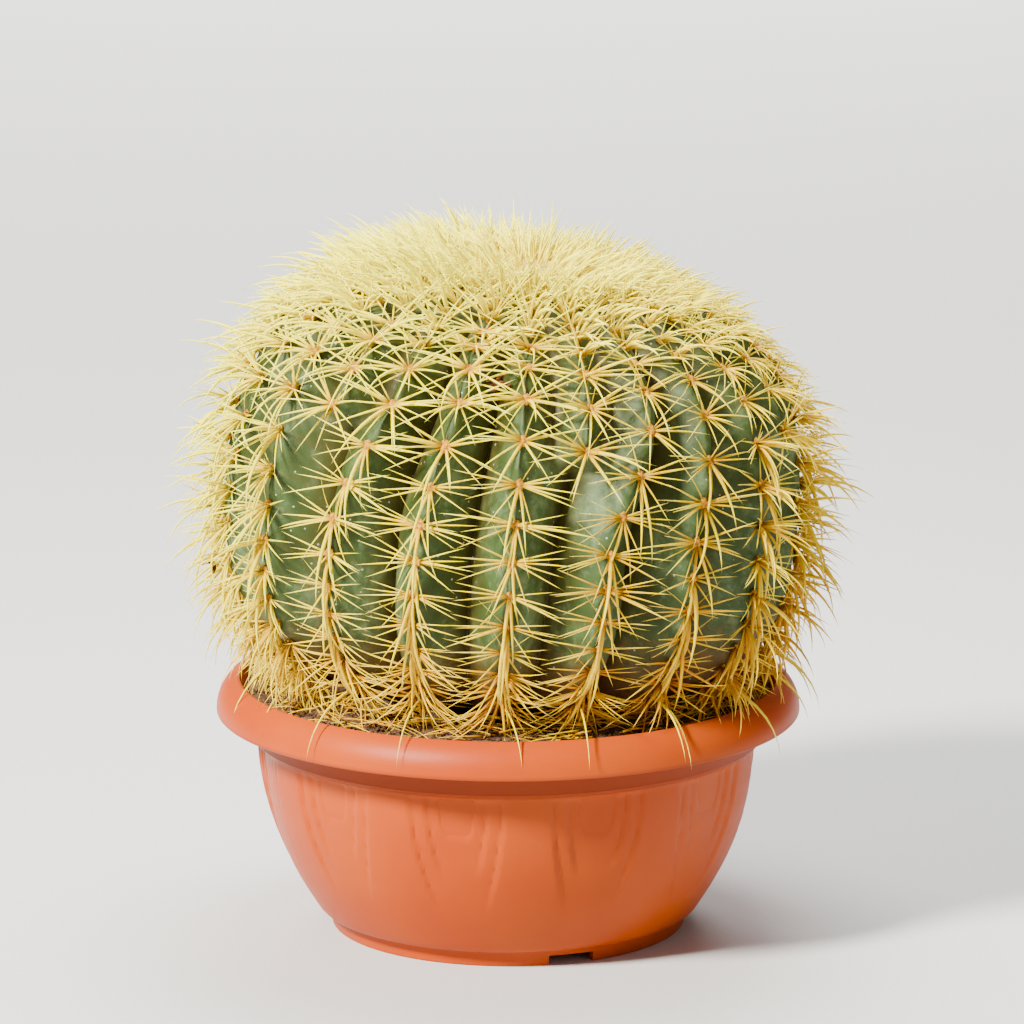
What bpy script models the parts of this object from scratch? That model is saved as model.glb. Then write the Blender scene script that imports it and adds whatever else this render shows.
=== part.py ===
"""Golden barrel cactus in a round plastic bowl pot.

Metres, +Z up. The origin is on the pot's axis, at the level that the foot ring stands on, and the front
of the plant looks along -Y. A turn is an angle about the axis, in degrees, from the front towards +X.

The stem is one globe. Full ribs run from its base to its crown, and short ribs come in between some of
them in the upper part. Each rib carries one row of areoles with their spines along its crest.
"""

import math
import random

import bmesh
import bpy
import numpy as np
from mathutils import Matrix, Vector

MM = 0.001
# Points closer than this are one point
MERGE = 0.01 * MM
# Step along a crest line over which its slope is read
SLOPE_STEP = 1 * MM

# Pot
POT_STEPS = 48
WALL = 2.5 * MM
BOWL_TOP_RADIUS = 129 * MM
BOWL_TOP = 98 * MM
BOWL_CORNER_RADIUS = 98.4 * MM
BOWL_CORNER = 11 * MM
BOWL_POWER = 1.93
BAND_STEP = 2.4 * MM
BAND_LEDGE = 2 * MM
BAND_TOP_RADIUS = 137.8 * MM
BAND_TOP = 125 * MM
RIM_INNER_RADIUS = 138.2 * MM
RIM_EDGE = 130.2 * MM
COLLAR_RADIUS = 150 * MM
COLLAR_LIP = 113.7 * MM
COLLAR_WIDTH = 17.9 * MM
COLLAR_HEIGHT = 18.4 * MM
COLLAR_START = 20
COLLAR_UNDERSIDE = (75, 48)
LIP_ROUND = 0.8 * MM
LIP_DROP = 1.1 * MM
FOOT_RADIUS = 91.1 * MM
FOOT_WIDTH = 5.1 * MM
FOOT_HEIGHT = 8.2 * MM
FOOT_STEP = 3 * MM
FOOT_FILLET = 0.4 * MM
FOOT_FILLET_DROP = 1.2 * MM
FOOT_CHAMFER = 0.6 * MM
BASE_UNDERSIDE = 5.8 * MM
BASE_TOP = 8.5 * MM
BASE_TOP_RADIUS = BOWL_CORNER_RADIUS - 4 * WALL
INSIDE_RISE = 1 * MM
NOTCH_TURNS = (20.7, 140.7, 260.7)
NOTCH_SIZE = Vector((24 * MM, 14 * MM, 5.2 * MM))
DRAIN_COUNT = 5
DRAIN_CIRCLE = 62 * MM
DRAIN_RADIUS = 6 * MM

# Soil
SOIL_EDGE = 123.5 * MM
SOIL_CROWN = 128.5 * MM
SOIL_CROWN_RADIUS = 112 * MM
GAP = 0.35 * MM
SEAT_GROWTH = 0.56 * MM

# Stem
GLOBE_RADIUS = 147 * MM
EQUATOR = 213 * MM
CROWN_RISE = 125 * MM
CROWN_POWER = 3.0
BASE_DROP = 100 * MM
BASE_POWER = 2.3
DIMPLE = 8 * MM
DIMPLE_RADIUS = 30 * MM
LEAN = 5
LEAN_PIVOT = Vector((-1 * MM, 0, 185 * MM))
RIB_DEPTH_RATIO = 0.165
STEM_RINGS = 20

# Ribs
FULL_RIBS = 19
SHORT_RIB_GAPS = (0, 3, 6, 9, 13, 16)
ALL_RIBS = FULL_RIBS + len(SHORT_RIB_GAPS)
SPREAD_FROM = 225 * MM
SPREAD_TO = 305 * MM
SHORT_RIB_FROM = 262 * MM
SHORT_RIB_RAMP = 22 * MM
SHORT_RIB_STAGGER = 5 * MM

# Spines
AREOLE_STEP = 18 * MM
ROW_BOTTOM = 150 * MM
ROW_BOTTOM_SWAY = 9 * MM
LOW_AREOLE = 178 * MM
ROW_END_RADIUS = 47 * MM
CORD_RADIUS = 1.5 * MM
CORD_LIFT = 2.4 * MM
PAD_HALF_LENGTH = 2.2 * MM
CENTRAL_SPINE = 29 * MM
CENTRAL_SPREAD = 0.06
CENTRAL_TILT = -0.2
LOW_TILT = 0.4
TILT_SPREAD = 0.1
RADIAL_SPINE = 24 * MM
RADIAL_REACH = 19 * MM
RADIAL_DROP = 4 * MM
RADIAL_RISE = 6 * MM
SECTOR_SHARE = 0.84

# Crown and dried flowers
CROWN_RADIUS = 34 * MM
CROWN_THICKNESS = 5 * MM
CROWN_SPINE = 30 * MM
SHORTEST_CROWN_SPINE = 0.85
CROWN_SPREAD = 0.12
FLOWER_RADIUS = 3.4 * MM
FLOWER_SEAT = 6.4 * MM
# Gap between ribs, height, and how far it stands out from the valley (0) to beyond the crests (1 and over)
FLOWERS = {
    "dried_flower_front": (18, 311 * MM, 0),
    "dried_flower_top": (2, 331 * MM, 0.9),
    "dried_flower_left": (14, 182 * MM, 1.1),
}

COLOURS = {
    "pot": ((0.72, 0.22, 0.07), 0.42),
    "potting_soil": ((0.09, 0.05, 0.03), 0.95),
    "cactus_stem": ((0.10, 0.19, 0.09), 0.6),
    "spine_row": ((0.83, 0.62, 0.22), 0.5),
    "crown_spines": ((0.86, 0.70, 0.30), 0.6),
    "dried_flower": ((0.22, 0.09, 0.04), 0.85),
}


def clear_scene():
    """Remove whatever the scene holds."""
    for item in list(bpy.data.objects):
        bpy.data.objects.remove(item)


def make_collection(name):
    """Add a collection to the scene."""
    collection = bpy.data.collections.new(name)
    bpy.context.scene.collection.children.link(collection)
    return collection


def make_material(name, finish):
    """Make a plain Principled material from a colour and a roughness."""
    colour, roughness = COLOURS[finish]
    material = bpy.data.materials.new(name)
    material.use_nodes = True
    shader = material.node_tree.nodes["Principled BSDF"]
    shader.inputs["Base Color"].default_value = (*colour, 1)
    shader.inputs["Roughness"].default_value = roughness
    shader.inputs["Metallic"].default_value = 0
    material.diffuse_color = (*colour, 1)
    return material


def add_object(name, mesh, collection, finish=None):
    """Put a mesh in the scene as a named object, with a material of its own."""
    part = bpy.data.objects.new(name, mesh)
    collection.objects.link(part)
    if finish:
        mesh.materials.append(make_material(name, finish))
    return part


def mesh_from(bm, name, smooth_angle=None):
    """Turn a bmesh into a mesh, shaded smooth up to an angle where one is given."""
    mesh = bpy.data.meshes.new(name)
    bm.to_mesh(mesh)
    bm.free()
    if smooth_angle:
        mesh.shade_smooth()
        mesh.set_sharp_from_angle(angle=math.radians(smooth_angle))
    return mesh


def smooth_step(value, start, end):
    """Rise smoothly from 0 at start to 1 at end."""
    share = min(1, max(0, (value - start) / (end - start)))
    return share * share * (3 - 2 * share)


def around(turn, radius, height):
    """Point at a turn, a distance from the axis and a height."""
    angle = math.radians(turn)
    return Vector((radius * math.sin(angle), -radius * math.cos(angle), height))


# Turned shapes


def turned(name, outline, collection, finish):
    """Turn an outline, which runs down its outer side, about the Z axis."""
    bm = bmesh.new()
    corners = [bm.verts.new((radius, 0, height)) for radius, height in outline]
    for start, end in zip(corners, corners[1:]):
        bm.edges.new((start, end))
    part = add_object(name, mesh_from(bm, name), collection, finish)
    screw = part.modifiers.new("turn", "SCREW")
    screw.steps = POT_STEPS
    screw.render_steps = POT_STEPS
    screw.use_merge_vertices = True
    screw.merge_threshold = MERGE
    screw.use_normal_calculate = True
    return part


def bowl_radius(height):
    """Outer radius of the bowl between its bottom corner and the step under the band."""
    share = (height - BOWL_CORNER) / (BOWL_TOP - BOWL_CORNER)
    return BOWL_TOP_RADIUS - (BOWL_TOP_RADIUS - BOWL_CORNER_RADIUS) * (1 - share) ** BOWL_POWER


def bowl_line(inset, count):
    """Points down the bowl, set in from its outer face, from just under the band to the corner."""
    fall = BOWL_TOP - BOWL_CORNER
    heights = [BOWL_TOP - fall * (step / count) for step in range(count + 1)]
    return [(bowl_radius(height) - inset, height) for height in heights]


def collar_line(inset, start, end, count):
    """Points over the rolled collar, from near its top to its lip, by the angle from straight up."""
    centre = COLLAR_RADIUS - COLLAR_WIDTH
    angles = [math.radians(start + (end - start) * step / count) for step in range(count + 1)]
    width = COLLAR_WIDTH - inset
    height = COLLAR_HEIGHT - inset
    return [(centre + width * math.sin(angle), COLLAR_LIP + height * math.cos(angle)) for angle in angles]


def pot_outline():
    """Section of the pot: up its inside, over the collar, down its outside and under its base."""
    inside = [(0, BASE_TOP), (BASE_TOP_RADIUS, BASE_TOP)]
    inside += [(radius, height + INSIDE_RISE) for radius, height in reversed(bowl_line(WALL, 5))]
    inside += [(BAND_TOP_RADIUS - WALL, BAND_TOP), (RIM_INNER_RADIUS, RIM_EDGE)]
    collar = collar_line(0, COLLAR_START, 90, 4)
    skirt = [(COLLAR_RADIUS - LIP_ROUND, COLLAR_LIP - LIP_DROP)]
    skirt += [(COLLAR_RADIUS - WALL, COLLAR_LIP - LIP_ROUND)]
    skirt += collar_line(WALL, *COLLAR_UNDERSIDE, 1)
    band = [(BAND_TOP_RADIUS, BAND_TOP), (BOWL_TOP_RADIUS + BAND_STEP, BOWL_TOP + BAND_LEDGE)]
    foot = [(FOOT_RADIUS + FOOT_STEP, FOOT_HEIGHT)]
    foot += [(FOOT_RADIUS + FOOT_FILLET, FOOT_HEIGHT - FOOT_FILLET_DROP)]
    foot += [(FOOT_RADIUS, FOOT_CHAMFER), (FOOT_RADIUS - FOOT_CHAMFER, 0), (FOOT_RADIUS - FOOT_WIDTH, 0)]
    foot += [(FOOT_RADIUS - FOOT_WIDTH - FOOT_CHAMFER, BASE_UNDERSIDE), (0, BASE_UNDERSIDE)]
    return inside + collar + skirt + band + bowl_line(0, 7) + foot


def add_cut(part, cutter, name):
    """Cut one object out of another."""
    cut = part.modifiers.new(name, "BOOLEAN")
    cut.operation = "DIFFERENCE"
    cut.solver = "EXACT"
    cut.object = cutter
    cutter.hide_render = True
    cutter.display_type = "WIRE"


def notch_cutter(collection):
    """Blocks that notch the foot ring, so that water drains away under the pot."""
    bm = bmesh.new()
    for turn in NOTCH_TURNS:
        place = Matrix.Translation(around(turn, FOOT_RADIUS - FOOT_WIDTH / 2, 0))
        spin = Matrix.Rotation(math.radians(turn), 4, "Z")
        size = Matrix.Diagonal((NOTCH_SIZE.x, NOTCH_SIZE.y, NOTCH_SIZE.z * 2, 1))
        bmesh.ops.create_cube(bm, size=1, matrix=place @ spin @ size)
    return add_object("foot_notches", mesh_from(bm, "foot_notches"), collection)


def drain_cutter(collection):
    """Rods that drill the drain holes through the base."""
    bm = bmesh.new()
    for hole in range(DRAIN_COUNT):
        place = Matrix.Translation(around(360 / DRAIN_COUNT * hole, DRAIN_CIRCLE, BASE_TOP))
        bmesh.ops.create_cone(
            bm,
            segments=12,
            cap_ends=True,
            radius1=DRAIN_RADIUS,
            radius2=DRAIN_RADIUS,
            depth=4 * BASE_TOP,
            matrix=place,
        )
    return add_object("drain_holes", mesh_from(bm, "drain_holes"), collection)


def build_pot(parts, cutters):
    """Plastic bowl with a rolled collar, a notched foot ring and a drained base."""
    pot = turned("pot", pot_outline(), parts, "pot")
    add_cut(pot, notch_cutter(cutters), "notches")
    add_cut(pot, drain_cutter(cutters), "drains")
    return pot


def soil_outline():
    """Section of the soil: out over its surface, and down along the inside of the pot."""
    inset = WALL + GAP
    surface = [(0, SOIL_CROWN), (SOIL_CROWN_RADIUS, SOIL_CROWN)]
    band_slope = (BAND_TOP_RADIUS - BOWL_TOP_RADIUS) / (BAND_TOP - BOWL_TOP - INSIDE_RISE)
    edge_radius = BAND_TOP_RADIUS - inset - (BAND_TOP - SOIL_EDGE) * band_slope
    wall = [(radius, height + INSIDE_RISE) for radius, height in bowl_line(inset, 5)]
    floor = BASE_TOP + GAP
    base = [(BASE_TOP_RADIUS - GAP, floor), (0, floor)]
    return surface + [(edge_radius, SOIL_EDGE)] + wall + base


def build_soil(parts, cutters):
    """Peat that fills the pot, hollowed where the stem is set into it."""
    soil = turned("potting_soil", soil_outline(), parts, "potting_soil")
    add_cut(soil, add_object("stem_seat", globe_mesh("stem_seat", SEAT_GROWTH), cutters), "seat")
    return soil


# Stem


def crest_curve(grow=0, samples=600):
    """Radius, height and run of the crest line from the stem's base to its crown."""
    swing = np.linspace(-math.pi / 2, math.pi / 2, samples)
    power = np.where(swing < 0, BASE_POWER, CROWN_POWER)
    reach = np.where(swing < 0, BASE_DROP + grow, CROWN_RISE + grow)
    radius = (GLOBE_RADIUS + grow) * np.clip(np.cos(swing), 0, 1) ** (2 / power)
    height = EQUATOR + reach * np.sign(swing) * np.abs(np.sin(swing)) ** (2 / power)
    dimple = DIMPLE * np.exp(-((radius / DIMPLE_RADIUS) ** 2))
    height = np.where(swing > 0, height - dimple, height)
    run = np.concatenate([[0], np.cumsum(np.hypot(np.diff(radius), np.diff(height)))])
    return radius, height, run


CREST = crest_curve()


def crest_at(run, crest=CREST):
    """Radius and height of the crest line at a run from its base."""
    radius, height, runs = crest
    return float(np.interp(run, runs, radius)), float(np.interp(run, runs, height))


def run_at_height(height):
    """Run of the crest line where it reaches a height, short of the crown's dimple."""
    top = int(np.argmax(CREST[1]))
    return float(np.interp(height, CREST[1][:top], CREST[2][:top]))


def run_at_crown_radius(radius):
    """Run of the crest line where it has closed in to a radius near the crown."""
    widest = int(np.argmax(CREST[0]))
    return float(np.interp(-radius, -CREST[0][widest:], CREST[2][widest:]))


def full_rib_turn(rib, height):
    """Turn of a full rib, which moves aside as the short ribs come in."""
    short_before = sum(1 for gap in SHORT_RIB_GAPS if gap < rib)
    low = rib * 360 / FULL_RIBS
    high = (rib + short_before) * 360 / ALL_RIBS
    return low + (high - low) * smooth_step(height, SPREAD_FROM, SPREAD_TO)


def short_rib_turn(gap, height):
    """Turn of the short rib halfway between two full ribs."""
    return (full_rib_turn(gap, height) + full_rib_turn(gap + 1, height)) / 2


def short_rib_start(gap):
    """Height where a short rib starts to stand out of its valley."""
    return SHORT_RIB_FROM + (gap % 3) * SHORT_RIB_STAGGER


def short_rib_share(gap, height):
    """How far a short rib stands out of its valley, from 0 to 1."""
    start = short_rib_start(gap)
    return smooth_step(height, start, start + SHORT_RIB_RAMP)


def stem_columns():
    """Crests and valleys around the stem, each as a gap and the share of the way across it."""
    columns = []
    for gap in range(FULL_RIBS):
        shares = (0, 0.25, 0.5, 0.75) if gap in SHORT_RIB_GAPS else (0, 0.5)
        columns += [(gap, share) for share in shares]
    return columns


def stem_point(column, radius, height):
    """Point on the stem's skin, where a crest stands at the full radius and a valley lies under it."""
    gap, share = column
    start = full_rib_turn(gap, height)
    turn = start + (full_rib_turn(gap + 1, height) - start) * share
    proud = abs(1 - 2 * share)
    if gap in SHORT_RIB_GAPS:
        with_short_rib = 0 if share in (0.25, 0.75) else 1
        proud += (with_short_rib - proud) * short_rib_share(gap, height)
    return around(turn, radius * (1 - RIB_DEPTH_RATIO * (1 - proud)), height)


def lean_matrix():
    """The stem's slight lean towards +X."""
    pivot = Matrix.Translation(LEAN_PIVOT)
    return pivot @ Matrix.Rotation(math.radians(LEAN), 4, "Y") @ Matrix.Translation((0, 0, -LEAN_PIVOT.z))


LEANED = lean_matrix()


def globe_mesh(name, grow=0):
    """A UV sphere drawn out into the ribbed and leaning globe."""
    columns = stem_columns()
    crest = crest_curve(grow)
    bm = bmesh.new()
    bmesh.ops.create_uvsphere(bm, u_segments=len(columns), v_segments=STEM_RINGS, radius=1)
    for vert in bm.verts:
        latitude = math.asin(max(-1, min(1, vert.co.z)))
        longitude = math.atan2(vert.co.x, -vert.co.y)
        column = columns[round(longitude / (2 * math.pi) * len(columns)) % len(columns)]
        radius, height = crest_at((latitude / math.pi + 0.5) * crest[2][-1], crest)
        vert.co = LEANED @ stem_point(column, radius, height)
    bmesh.ops.recalc_face_normals(bm, faces=bm.faces)
    return mesh_from(bm, name, smooth_angle=40)


def build_stem(parts):
    """The grown stem, one ribbed globe."""
    return add_object("cactus_stem", globe_mesh("cactus_stem"), parts, "cactus_stem")


# Spine rows


class Areole:
    """One spine cushion on a crest: its place, and the ways out, up the rib and sideways from it."""

    def __init__(self, turn_at, run, half_sector):
        radius, height = crest_at(run)
        lower = crest_at(run - SLOPE_STEP)
        upper = crest_at(run + SLOPE_STEP)
        turn = turn_at(height)
        slope = Vector((upper[0] - lower[0], upper[1] - lower[1])).normalized()
        turned_lean = LEANED.to_3x3()
        flat_out = around(turn, 1, 0)
        self.place = LEANED @ around(turn, radius, height)
        self.up = turned_lean @ (flat_out * slope.x + Vector((0, 0, slope.y)))
        self.out = turned_lean @ (flat_out * slope.y - Vector((0, 0, slope.x)))
        self.side = turned_lean @ around(turn + 90, 1, 0)
        self.radius = radius
        self.height = height
        self.reach = radius * math.radians(half_sector) * SECTOR_SHARE

    def lifted(self, along):
        """Point on the cord over this areole, a little way along the rib."""
        return self.place + self.out * CORD_LIFT + self.up * along


def row_runs(first_height):
    """Runs along the crest line where the areoles of one row stand."""
    first = run_at_height(first_height)
    last = run_at_crown_radius(ROW_END_RADIUS)
    count = round((last - first) / AREOLE_STEP)
    return [first + (last - first) * step / count for step in range(count + 1)]


def crest_cord(name, areoles, collection):
    """Felted cord along the crest: a four-sided wire with a short stretch at each areole."""
    curve = bpy.data.curves.new(name, "CURVE")
    curve.dimensions = "3D"
    curve.bevel_depth = CORD_RADIUS
    curve.bevel_resolution = 0
    curve.use_fill_caps = True
    spline = curve.splines.new("POLY")
    points = [areole.lifted(along) for areole in areoles for along in (-PAD_HALF_LENGTH, PAD_HALF_LENGTH)]
    spline.points.add(len(points) - 1)
    for point, place in zip(spline.points, points):
        point.co = (*place, 1)
        point.tilt = math.radians(45)
    wire = bpy.data.objects.new(name, curve)
    collection.objects.link(wire)
    evaluated = wire.evaluated_get(bpy.context.evaluated_depsgraph_get())
    mesh = bpy.data.meshes.new_from_object(evaluated)
    bpy.data.objects.remove(wire)
    bm = bmesh.new()
    bm.from_mesh(mesh)
    bmesh.ops.remove_doubles(bm, verts=bm.verts, dist=MERGE)
    return bm


def spine_tip(areole, face, chance):
    """Tip of the spine that grows out of one face of an areole."""
    centre = face.calc_center_median()
    sideways = face.normal.dot(areole.side)
    if abs(sideways) < 0.5:
        tilt = LOW_TILT if areole.height < LOW_AREOLE else CENTRAL_TILT
        way = areole.out + areole.up * (tilt + chance.uniform(-TILT_SPREAD, TILT_SPREAD))
        length = CENTRAL_SPINE * chance.uniform(1 - CENTRAL_SPREAD, 1 + CENTRAL_SPREAD)
        return centre + way.normalized() * length
    reach = min(areole.reach, RADIAL_REACH)
    rise = math.sqrt(RADIAL_SPINE**2 - reach**2)
    way = areole.side * math.copysign(reach, sideways) + areole.out * rise
    return areole.place + way + areole.up * chance.uniform(-RADIAL_DROP, RADIAL_RISE)


def grow_spines(bm, areoles, chance):
    """Draw a spine out of each face of every areole that isn't turned to the skin."""
    for areole in areoles:
        centre = areole.lifted(0)
        pad = [face for face in bm.faces if (face.calc_center_median() - centre).length < CORD_RADIUS]
        for face in [face for face in pad if face.normal.dot(areole.out) > -0.5]:
            tip = spine_tip(areole, face, chance)
            poked = bmesh.ops.poke(bm, faces=[face])
            poked["verts"][0].co = tip


def full_row_bottom(rib):
    """Height of a full row's lowest areole, which follows the soil on the leaning stem."""
    return ROW_BOTTOM + ROW_BOTTOM_SWAY * math.sin(math.radians(full_rib_turn(rib, ROW_BOTTOM)))


def build_spine_row(name, turn_at, first_height, half_sector, seed, parts):
    """One rib's spines, standing on the felted cord along its crest."""
    areoles = [Areole(turn_at, run, half_sector) for run in row_runs(first_height)]
    bm = crest_cord(name, areoles, parts)
    grow_spines(bm, areoles, random.Random(seed))
    return add_object(name, mesh_from(bm, name), parts, "spine_row")


def build_spine_rows(parts):
    """Rows on the full ribs from the soil up, and on the short ribs from where they stand out."""
    half_sector = 180 / ALL_RIBS
    for rib in range(FULL_RIBS):
        name = f"spine_row_{rib + 1:02d}"
        first = full_row_bottom(rib)
        build_spine_row(name, lambda height: full_rib_turn(rib, height), first, half_sector, rib, parts)
    for number, gap in enumerate(SHORT_RIB_GAPS):
        name = f"short_spine_row_{number + 1}"
        first = short_rib_start(gap) + SHORT_RIB_RAMP
        build_spine_row(name, lambda height: short_rib_turn(gap, height), first, half_sector, 50 + gap, parts)


# Crown and dried flowers


def build_crown(parts):
    """Woolly cushion in the crown's dimple, with the youngest spines standing in it."""
    apex = crest_at(CREST[2][-1])[1]
    lift = Matrix.Translation((0, 0, apex + DIMPLE))
    flat = Matrix.Diagonal((CROWN_RADIUS, CROWN_RADIUS, CROWN_THICKNESS, 1))
    bm = bmesh.new()
    bmesh.ops.create_uvsphere(bm, u_segments=12, v_segments=6, radius=1, matrix=LEANED @ lift @ flat)
    chance = random.Random(7)
    axis = LEANED.to_3x3() @ Vector((0, 0, 1))
    top = LEANED @ Vector((0, 0, apex + DIMPLE))
    for face in [face for face in bm.faces if face.normal.dot(axis) > 0.5]:
        centre = face.calc_center_median()
        poked = bmesh.ops.poke(bm, faces=[face])
        spread = (centre - top) * CROWN_SPREAD
        poked["verts"][0].co = centre + spread + axis * CROWN_SPINE * chance.uniform(SHORTEST_CROWN_SPINE, 1)
    return add_object("crown_spines", mesh_from(bm, "crown_spines"), parts, "crown_spines")


def build_flowers(parts):
    """Dried flower remains, lodged between two ribs or held out among their spines."""
    for name, (gap, height, proud) in FLOWERS.items():
        over = Areole(lambda height: short_rib_turn(gap, height), run_at_height(height), 0)
        depth = RIB_DEPTH_RATIO * over.radius * (1 - proud)
        out = LEANED.to_3x3().inverted() @ over.out
        sink = depth * math.hypot(out.x, out.y)
        bm = bmesh.new()
        place = Matrix.Translation(over.place + over.out * (FLOWER_SEAT - sink))
        bmesh.ops.create_icosphere(bm, subdivisions=2, radius=FLOWER_RADIUS, matrix=place)
        add_object(name, mesh_from(bm, name, smooth_angle=60), parts, "dried_flower")


def main():
    """Build the potted cactus."""
    clear_scene()
    parts = make_collection("potted_round_cactus")
    cutters = make_collection("cutters")
    build_pot(parts, cutters)
    build_soil(parts, cutters)
    build_stem(parts)
    build_spine_rows(parts)
    build_crown(parts)
    build_flowers(parts)


main()
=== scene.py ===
"""Golden barrel cactus in a terracotta-coloured bowl pot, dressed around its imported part.

Metres, +Z up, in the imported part's own frame: the origin is on the pot's axis at the level that its foot
ring stands on, and the front of the plant looks along -Y. A turn is an angle about the axis, in degrees,
from the front towards +X. Full ribs run from the stem's base to its crown, and short ribs come in between
some of them in the upper part. Each rib carries one row of areoles, and every areole carries its spines.
"""

import logging
import math
import random
from dataclasses import dataclass, field
from enum import Enum
from typing import Any, Callable, Sequence

import bpy
import numpy as np
from mathutils import Matrix, Vector, noise


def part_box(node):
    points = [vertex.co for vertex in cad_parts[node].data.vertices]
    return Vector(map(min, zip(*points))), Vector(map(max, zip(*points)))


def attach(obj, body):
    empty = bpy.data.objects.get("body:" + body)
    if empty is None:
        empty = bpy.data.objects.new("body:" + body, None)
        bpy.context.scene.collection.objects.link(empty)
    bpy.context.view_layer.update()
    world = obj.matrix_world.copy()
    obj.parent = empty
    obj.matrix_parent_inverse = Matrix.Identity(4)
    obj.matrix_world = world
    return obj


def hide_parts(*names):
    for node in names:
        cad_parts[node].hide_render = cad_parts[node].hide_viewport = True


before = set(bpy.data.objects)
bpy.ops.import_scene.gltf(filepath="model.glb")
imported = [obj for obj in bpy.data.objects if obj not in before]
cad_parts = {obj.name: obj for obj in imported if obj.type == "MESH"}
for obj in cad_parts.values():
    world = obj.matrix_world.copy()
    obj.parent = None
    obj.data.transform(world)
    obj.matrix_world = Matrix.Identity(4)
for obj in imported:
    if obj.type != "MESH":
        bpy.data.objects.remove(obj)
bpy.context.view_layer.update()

MM = 0.001
ROOT_BODY = "root"
MERGE = 0.01 * MM

logging.basicConfig(level=logging.INFO, format="%(message)s")
LOG = logging.getLogger("potted_cactus")


# Small tools


def linear(hex_colour: str) -> tuple[float, float, float, float]:
    """Turn an sRGB hex colour into a linear one with full alpha.

    Args:
        hex_colour: Six hex digits after a hash.

    Returns:
        Linear red, green, blue and an alpha of 1.
    """
    shares = [int(hex_colour[start:start + 2], 16) / 255 for start in (1, 3, 5)]
    curved = [share / 12.92 if share <= 0.04045 else ((share + 0.055) / 1.055) ** 2.4 for share in shares]
    return (curved[0], curved[1], curved[2], 1.0)


def smooth_step(value: Any, start: float, end: float) -> Any:
    """Rise smoothly from 0 at start to 1 at end, for a number or an array."""
    share = np.clip((value - start) / (end - start), 0, 1)
    return share * share * (3 - 2 * share)


def around(turn: float, radius: float, height: float) -> Vector:
    """Point at a turn in degrees, a distance from the axis and a height."""
    angle = math.radians(turn)
    return Vector((radius * math.sin(angle), -radius * math.cos(angle), height))


def any_way(chance: random.Random) -> Vector:
    """Draw a vector with each coordinate between -1 and 1."""
    return Vector((chance.uniform(-1, 1), chance.uniform(-1, 1), chance.uniform(-1, 1)))


def start_object_mode() -> None:
    """Leave edit mode and deselect everything, so that an operator acts only on what is made next."""
    if bpy.context.mode != "OBJECT":
        bpy.ops.object.mode_set(mode="OBJECT")
    bpy.ops.object.select_all(action="DESELECT")


def new_piece(name: str) -> bpy.types.Object:
    """Name the primitive that was just added, and hand it over."""
    piece = bpy.context.active_object
    piece.name = name
    piece.data.name = name
    return piece


def mesh_points(piece: bpy.types.Object) -> np.ndarray:
    """Read a mesh's vertices as an array of rows."""
    flat = np.empty(len(piece.data.vertices) * 3)
    piece.data.vertices.foreach_get("co", flat)
    return flat.reshape(-1, 3)


def set_mesh_points(piece: bpy.types.Object, points: np.ndarray) -> None:
    """Write a mesh's vertices back from an array of rows."""
    piece.data.vertices.foreach_set("co", points.ravel())
    piece.data.update()


def write_attribute(piece: bpy.types.Object, name: str, values: np.ndarray) -> None:
    """Store one number for each vertex, for a material to read."""
    layer = piece.data.attributes.new(name, "FLOAT", "POINT")
    layer.data.foreach_set("value", np.asarray(values, dtype=np.float32))


def noise_field(points: np.ndarray, grain: float, seed: float) -> np.ndarray:
    """Smooth noise from about -1 to 1 at each point.

    Args:
        points: Rows of coordinates in metres.
        grain: Size of a lump, in metres.
        seed: Offset that gives each use its own pattern.

    Returns:
        One value for each row.
    """
    shift = Vector((seed, seed * 0.7, -seed))
    return np.array([noise.noise(Vector(row) / grain + shift) for row in points])


def finish_piece(piece: bpy.types.Object, material: bpy.types.Material,
                 replaced: Sequence[str]) -> None:
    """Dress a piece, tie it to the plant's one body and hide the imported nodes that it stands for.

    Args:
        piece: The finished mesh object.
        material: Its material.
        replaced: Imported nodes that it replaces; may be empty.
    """
    piece.data.materials.clear()
    piece.data.materials.append(material)
    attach(piece, ROOT_BODY)
    if replaced:
        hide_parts(*replaced)
    LOG.info("%s: %d faces", piece.name, len(piece.data.polygons))


def add_node(tree: Any, kind: str, settings: dict, links: dict) -> Any:
    """Add a shader node with its settings and links.

    Args:
        tree: Node tree to add to.
        kind: Node type, such as ShaderNodeTexNoise.
        settings: Properties, input values by name or number, and "stops" for a colour ramp.
        links: Input name or number to a pair of source node and its output.

    Returns:
        The new node.
    """
    node = tree.nodes.new(kind)
    for name, value in settings.items():
        if name == "stops":
            ramp = node.color_ramp
            while len(ramp.elements) < len(value):
                ramp.elements.new(0.5)
            for element, (place, colour) in zip(ramp.elements, value):
                element.position = place
                element.color = linear(colour)
        elif isinstance(name, str) and hasattr(node, name):
            setattr(node, name, value)
        else:
            node.inputs[name].default_value = value
    for name, (source, output) in links.items():
        tree.links.new(source.outputs[output], node.inputs[name])
    return node


def new_material(name: str) -> tuple[bpy.types.Material, Any, Any]:
    """Start a material and return it with its node tree and its Principled shader."""
    material = bpy.data.materials.new(name)
    material.use_nodes = True
    tree = material.node_tree
    return material, tree, tree.nodes["Principled BSDF"]


# Finishes


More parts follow.
